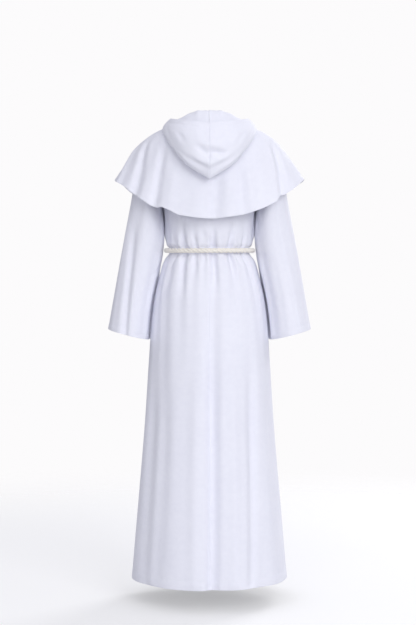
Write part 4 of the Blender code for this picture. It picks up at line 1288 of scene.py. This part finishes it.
def sewing_thread():
    """Spun polyester thread: a little brighter and smoother than the cloth."""
    made, tree, shader = new_material("spun_polyester_thread", 0.6, Specular_IOR_Level=0.35, IOR=1.5)
    where = add(tree, "ShaderNodeTexCoord").outputs["Object"]
    ply = add(tree, "ShaderNodeTexNoise", {"Vector": where, "Scale": 1 / 0.0008, "Detail": 2.0})
    colour = add(tree, "ShaderNodeMix", {"Factor": ply.outputs["Fac"], "A": linear("#E4E5F0"),
                                         "B": linear("#F4F4FA")}, data_type="RGBA")
    tree.links.new(colour.outputs["Result"], shader.inputs["Base Color"])
    return made


def make_floor():
    """A pale round floor that fades into the studio's white."""
    made, tree, shader = new_material("studio_floor", 0.7, Specular_IOR_Level=0.2)
    shader.inputs["Base Color"].default_value = linear("#C4C4C6")
    shader.inputs["Emission Color"].default_value = linear("#FFFFFF")
    # The floor's own light is for the picture alone, and adds nothing to the robe
    seen = add(tree, "ShaderNodeLightPath").outputs["Is Camera Ray"]
    own_light = add(tree, "ShaderNodeMath", {0: seen, 1: 0.36}, operation="MULTIPLY")
    tree.links.new(own_light.outputs[0], shader.inputs["Emission Strength"])
    where = add(tree, "ShaderNodeTexCoord").outputs["Object"]
    far = add(tree, "ShaderNodeVectorMath", {0: where}, operation="LENGTH")
    fade = add(tree, "ShaderNodeMapRange", {"Value": far.outputs["Value"], "From Min": 1.0, "From Max": 2.8,
                                            "To Min": 1.0, "To Max": 0.0}, interpolation_type="SMOOTHSTEP")
    tree.links.new(fade.outputs[0], shader.inputs["Alpha"])
    count = 96
    angles = np.arange(count) * math.tau / count
    points = [(3.0 * math.cos(a), 3.0 * math.sin(a), 0) for a in angles]
    mesh = bpy.data.meshes.new("studio_floor")
    mesh.from_pydata(points, [], [tuple(range(count))])
    mesh.materials.append(made)
    floor = bpy.data.objects.new("studio_floor", mesh)
    floor.location.z = -MOUNT_HEIGHT
    bpy.context.collection.objects.link(floor)


def make_camera():
    """The photo's view, from behind."""
    data = bpy.data.cameras.new("camera")
    data.lens = CAMERA_LENS
    camera = bpy.data.objects.new("camera", data)
    camera.location = (CAMERA_SIDE, CAMERA_DISTANCE, CAMERA_HEIGHT - MOUNT_HEIGHT)
    camera.rotation_euler = (math.radians(90 - CAMERA_TILT), 0, math.radians(180))
    bpy.context.collection.objects.link(camera)
    bpy.context.scene.camera = camera


def make_light(name, place, target, size, power):
    """A square soft box at a place, aimed at a target."""
    data = bpy.data.lights.new(name, "AREA")
    data.size = size
    data.energy = power
    light = bpy.data.objects.new(name, data)
    light.location = place
    aim = light.location.copy()
    for axis in range(3):
        aim[axis] = target[axis] - place[axis]
    light.rotation_mode = "QUATERNION"
    light.rotation_quaternion = aim.to_track_quat("-Z", "Y")
    bpy.context.collection.objects.link(light)


def light_studio():
    """A white studio: even light from all round, and soft boxes over the viewer's right shoulder and ahead."""
    scene = bpy.context.scene
    scene.view_settings.view_transform = "Standard"
    world = bpy.data.worlds.new("white_studio")
    scene.world = world
    world.use_nodes = True
    tree = world.node_tree
    tree.nodes.clear()
    seen = add(tree, "ShaderNodeBackground", {"Color": linear("#FCFBFC"), "Strength": 1.0})
    way = add(tree, "ShaderNodeTexCoord").outputs["Generated"]
    up = add(tree, "ShaderNodeSeparateXYZ", {0: way}).outputs["Z"]
    level = add(tree, "ShaderNodeMapRange", {"Value": up, "To Min": 0.40, "To Max": 0.82})
    lit = add(tree, "ShaderNodeBackground", {"Color": linear("#F8F8FF"), "Strength": level.outputs[0]})
    ray = add(tree, "ShaderNodeLightPath")
    mixed = add(tree, "ShaderNodeMixShader", {0: ray.outputs["Is Camera Ray"], 1: lit.outputs[0],
                                              2: seen.outputs[0]})
    add(tree, "ShaderNodeOutputWorld", {0: mixed.outputs[0]})
    make_light("key", (-1.9, 3.8, 0.95), (0, 0, -0.2), 2.7, 87)
    make_light("fill", (1.3, 4.0, -0.25), (0, 0, -0.10), 1.6, 24)
    make_light("front_key", (-2.4, -3.4, 1.1), (0, 0, -0.4), 1.8, 100)


make_camera()
light_studio()
make_floor()

cloth = woven_cloth()
rope = cotton_rope()
thread = sewing_thread()
stitches = stitch_tree()

make_belt(rope, rope_tree())

# Panels: node, side, maker, cut width and length in metres, flat area, how it is held, depth of the
# stitched hem, and whether that hem is at the grid's last row
PANELS = (
    ("robe_back_left", 1, make_back, (0.38, 1.39), 0.37, "gathered", ROBE_HEM, False),
    ("robe_back_right", -1, make_back, (0.38, 1.39), 0.37, "gathered", ROBE_HEM, False),
    ("robe_front", 0, make_front, (0.74, 1.35), 0.72, "gathered", ROBE_HEM, False),
    ("sleeve_left", 1, make_sleeve, (0.52, 0.60), 0.23, "hung", CUFF_HEM, True),
    ("sleeve_right", -1, make_sleeve, (0.52, 0.60), 0.23, "hung", CUFF_HEM, True),
    ("cape_left", 1, make_cape, (0.62, 0.38), 0.16, "draped", CAPE_HEM, False),
    ("cape_right", -1, make_cape, (0.62, 0.38), 0.16, "draped", CAPE_HEM, False),
    ("hood_left", 1, make_hood, (0.30, 0.44), 0.08, "folded", HOOD_HEM, True),
    ("hood_right", -1, make_hood, (0.30, 0.44), 0.08, "folded", HOOD_HEM, True),
)

for node, side, maker, cut, area, held, hem, hem_last in PANELS:
    piece, outside = maker(side, node + "_cloth")
    dress(piece, node, cloth)
    row = make_stitches(node + "_stitches", outside, hem - HEM_TO_STITCH, hem_last, thread, stitches)
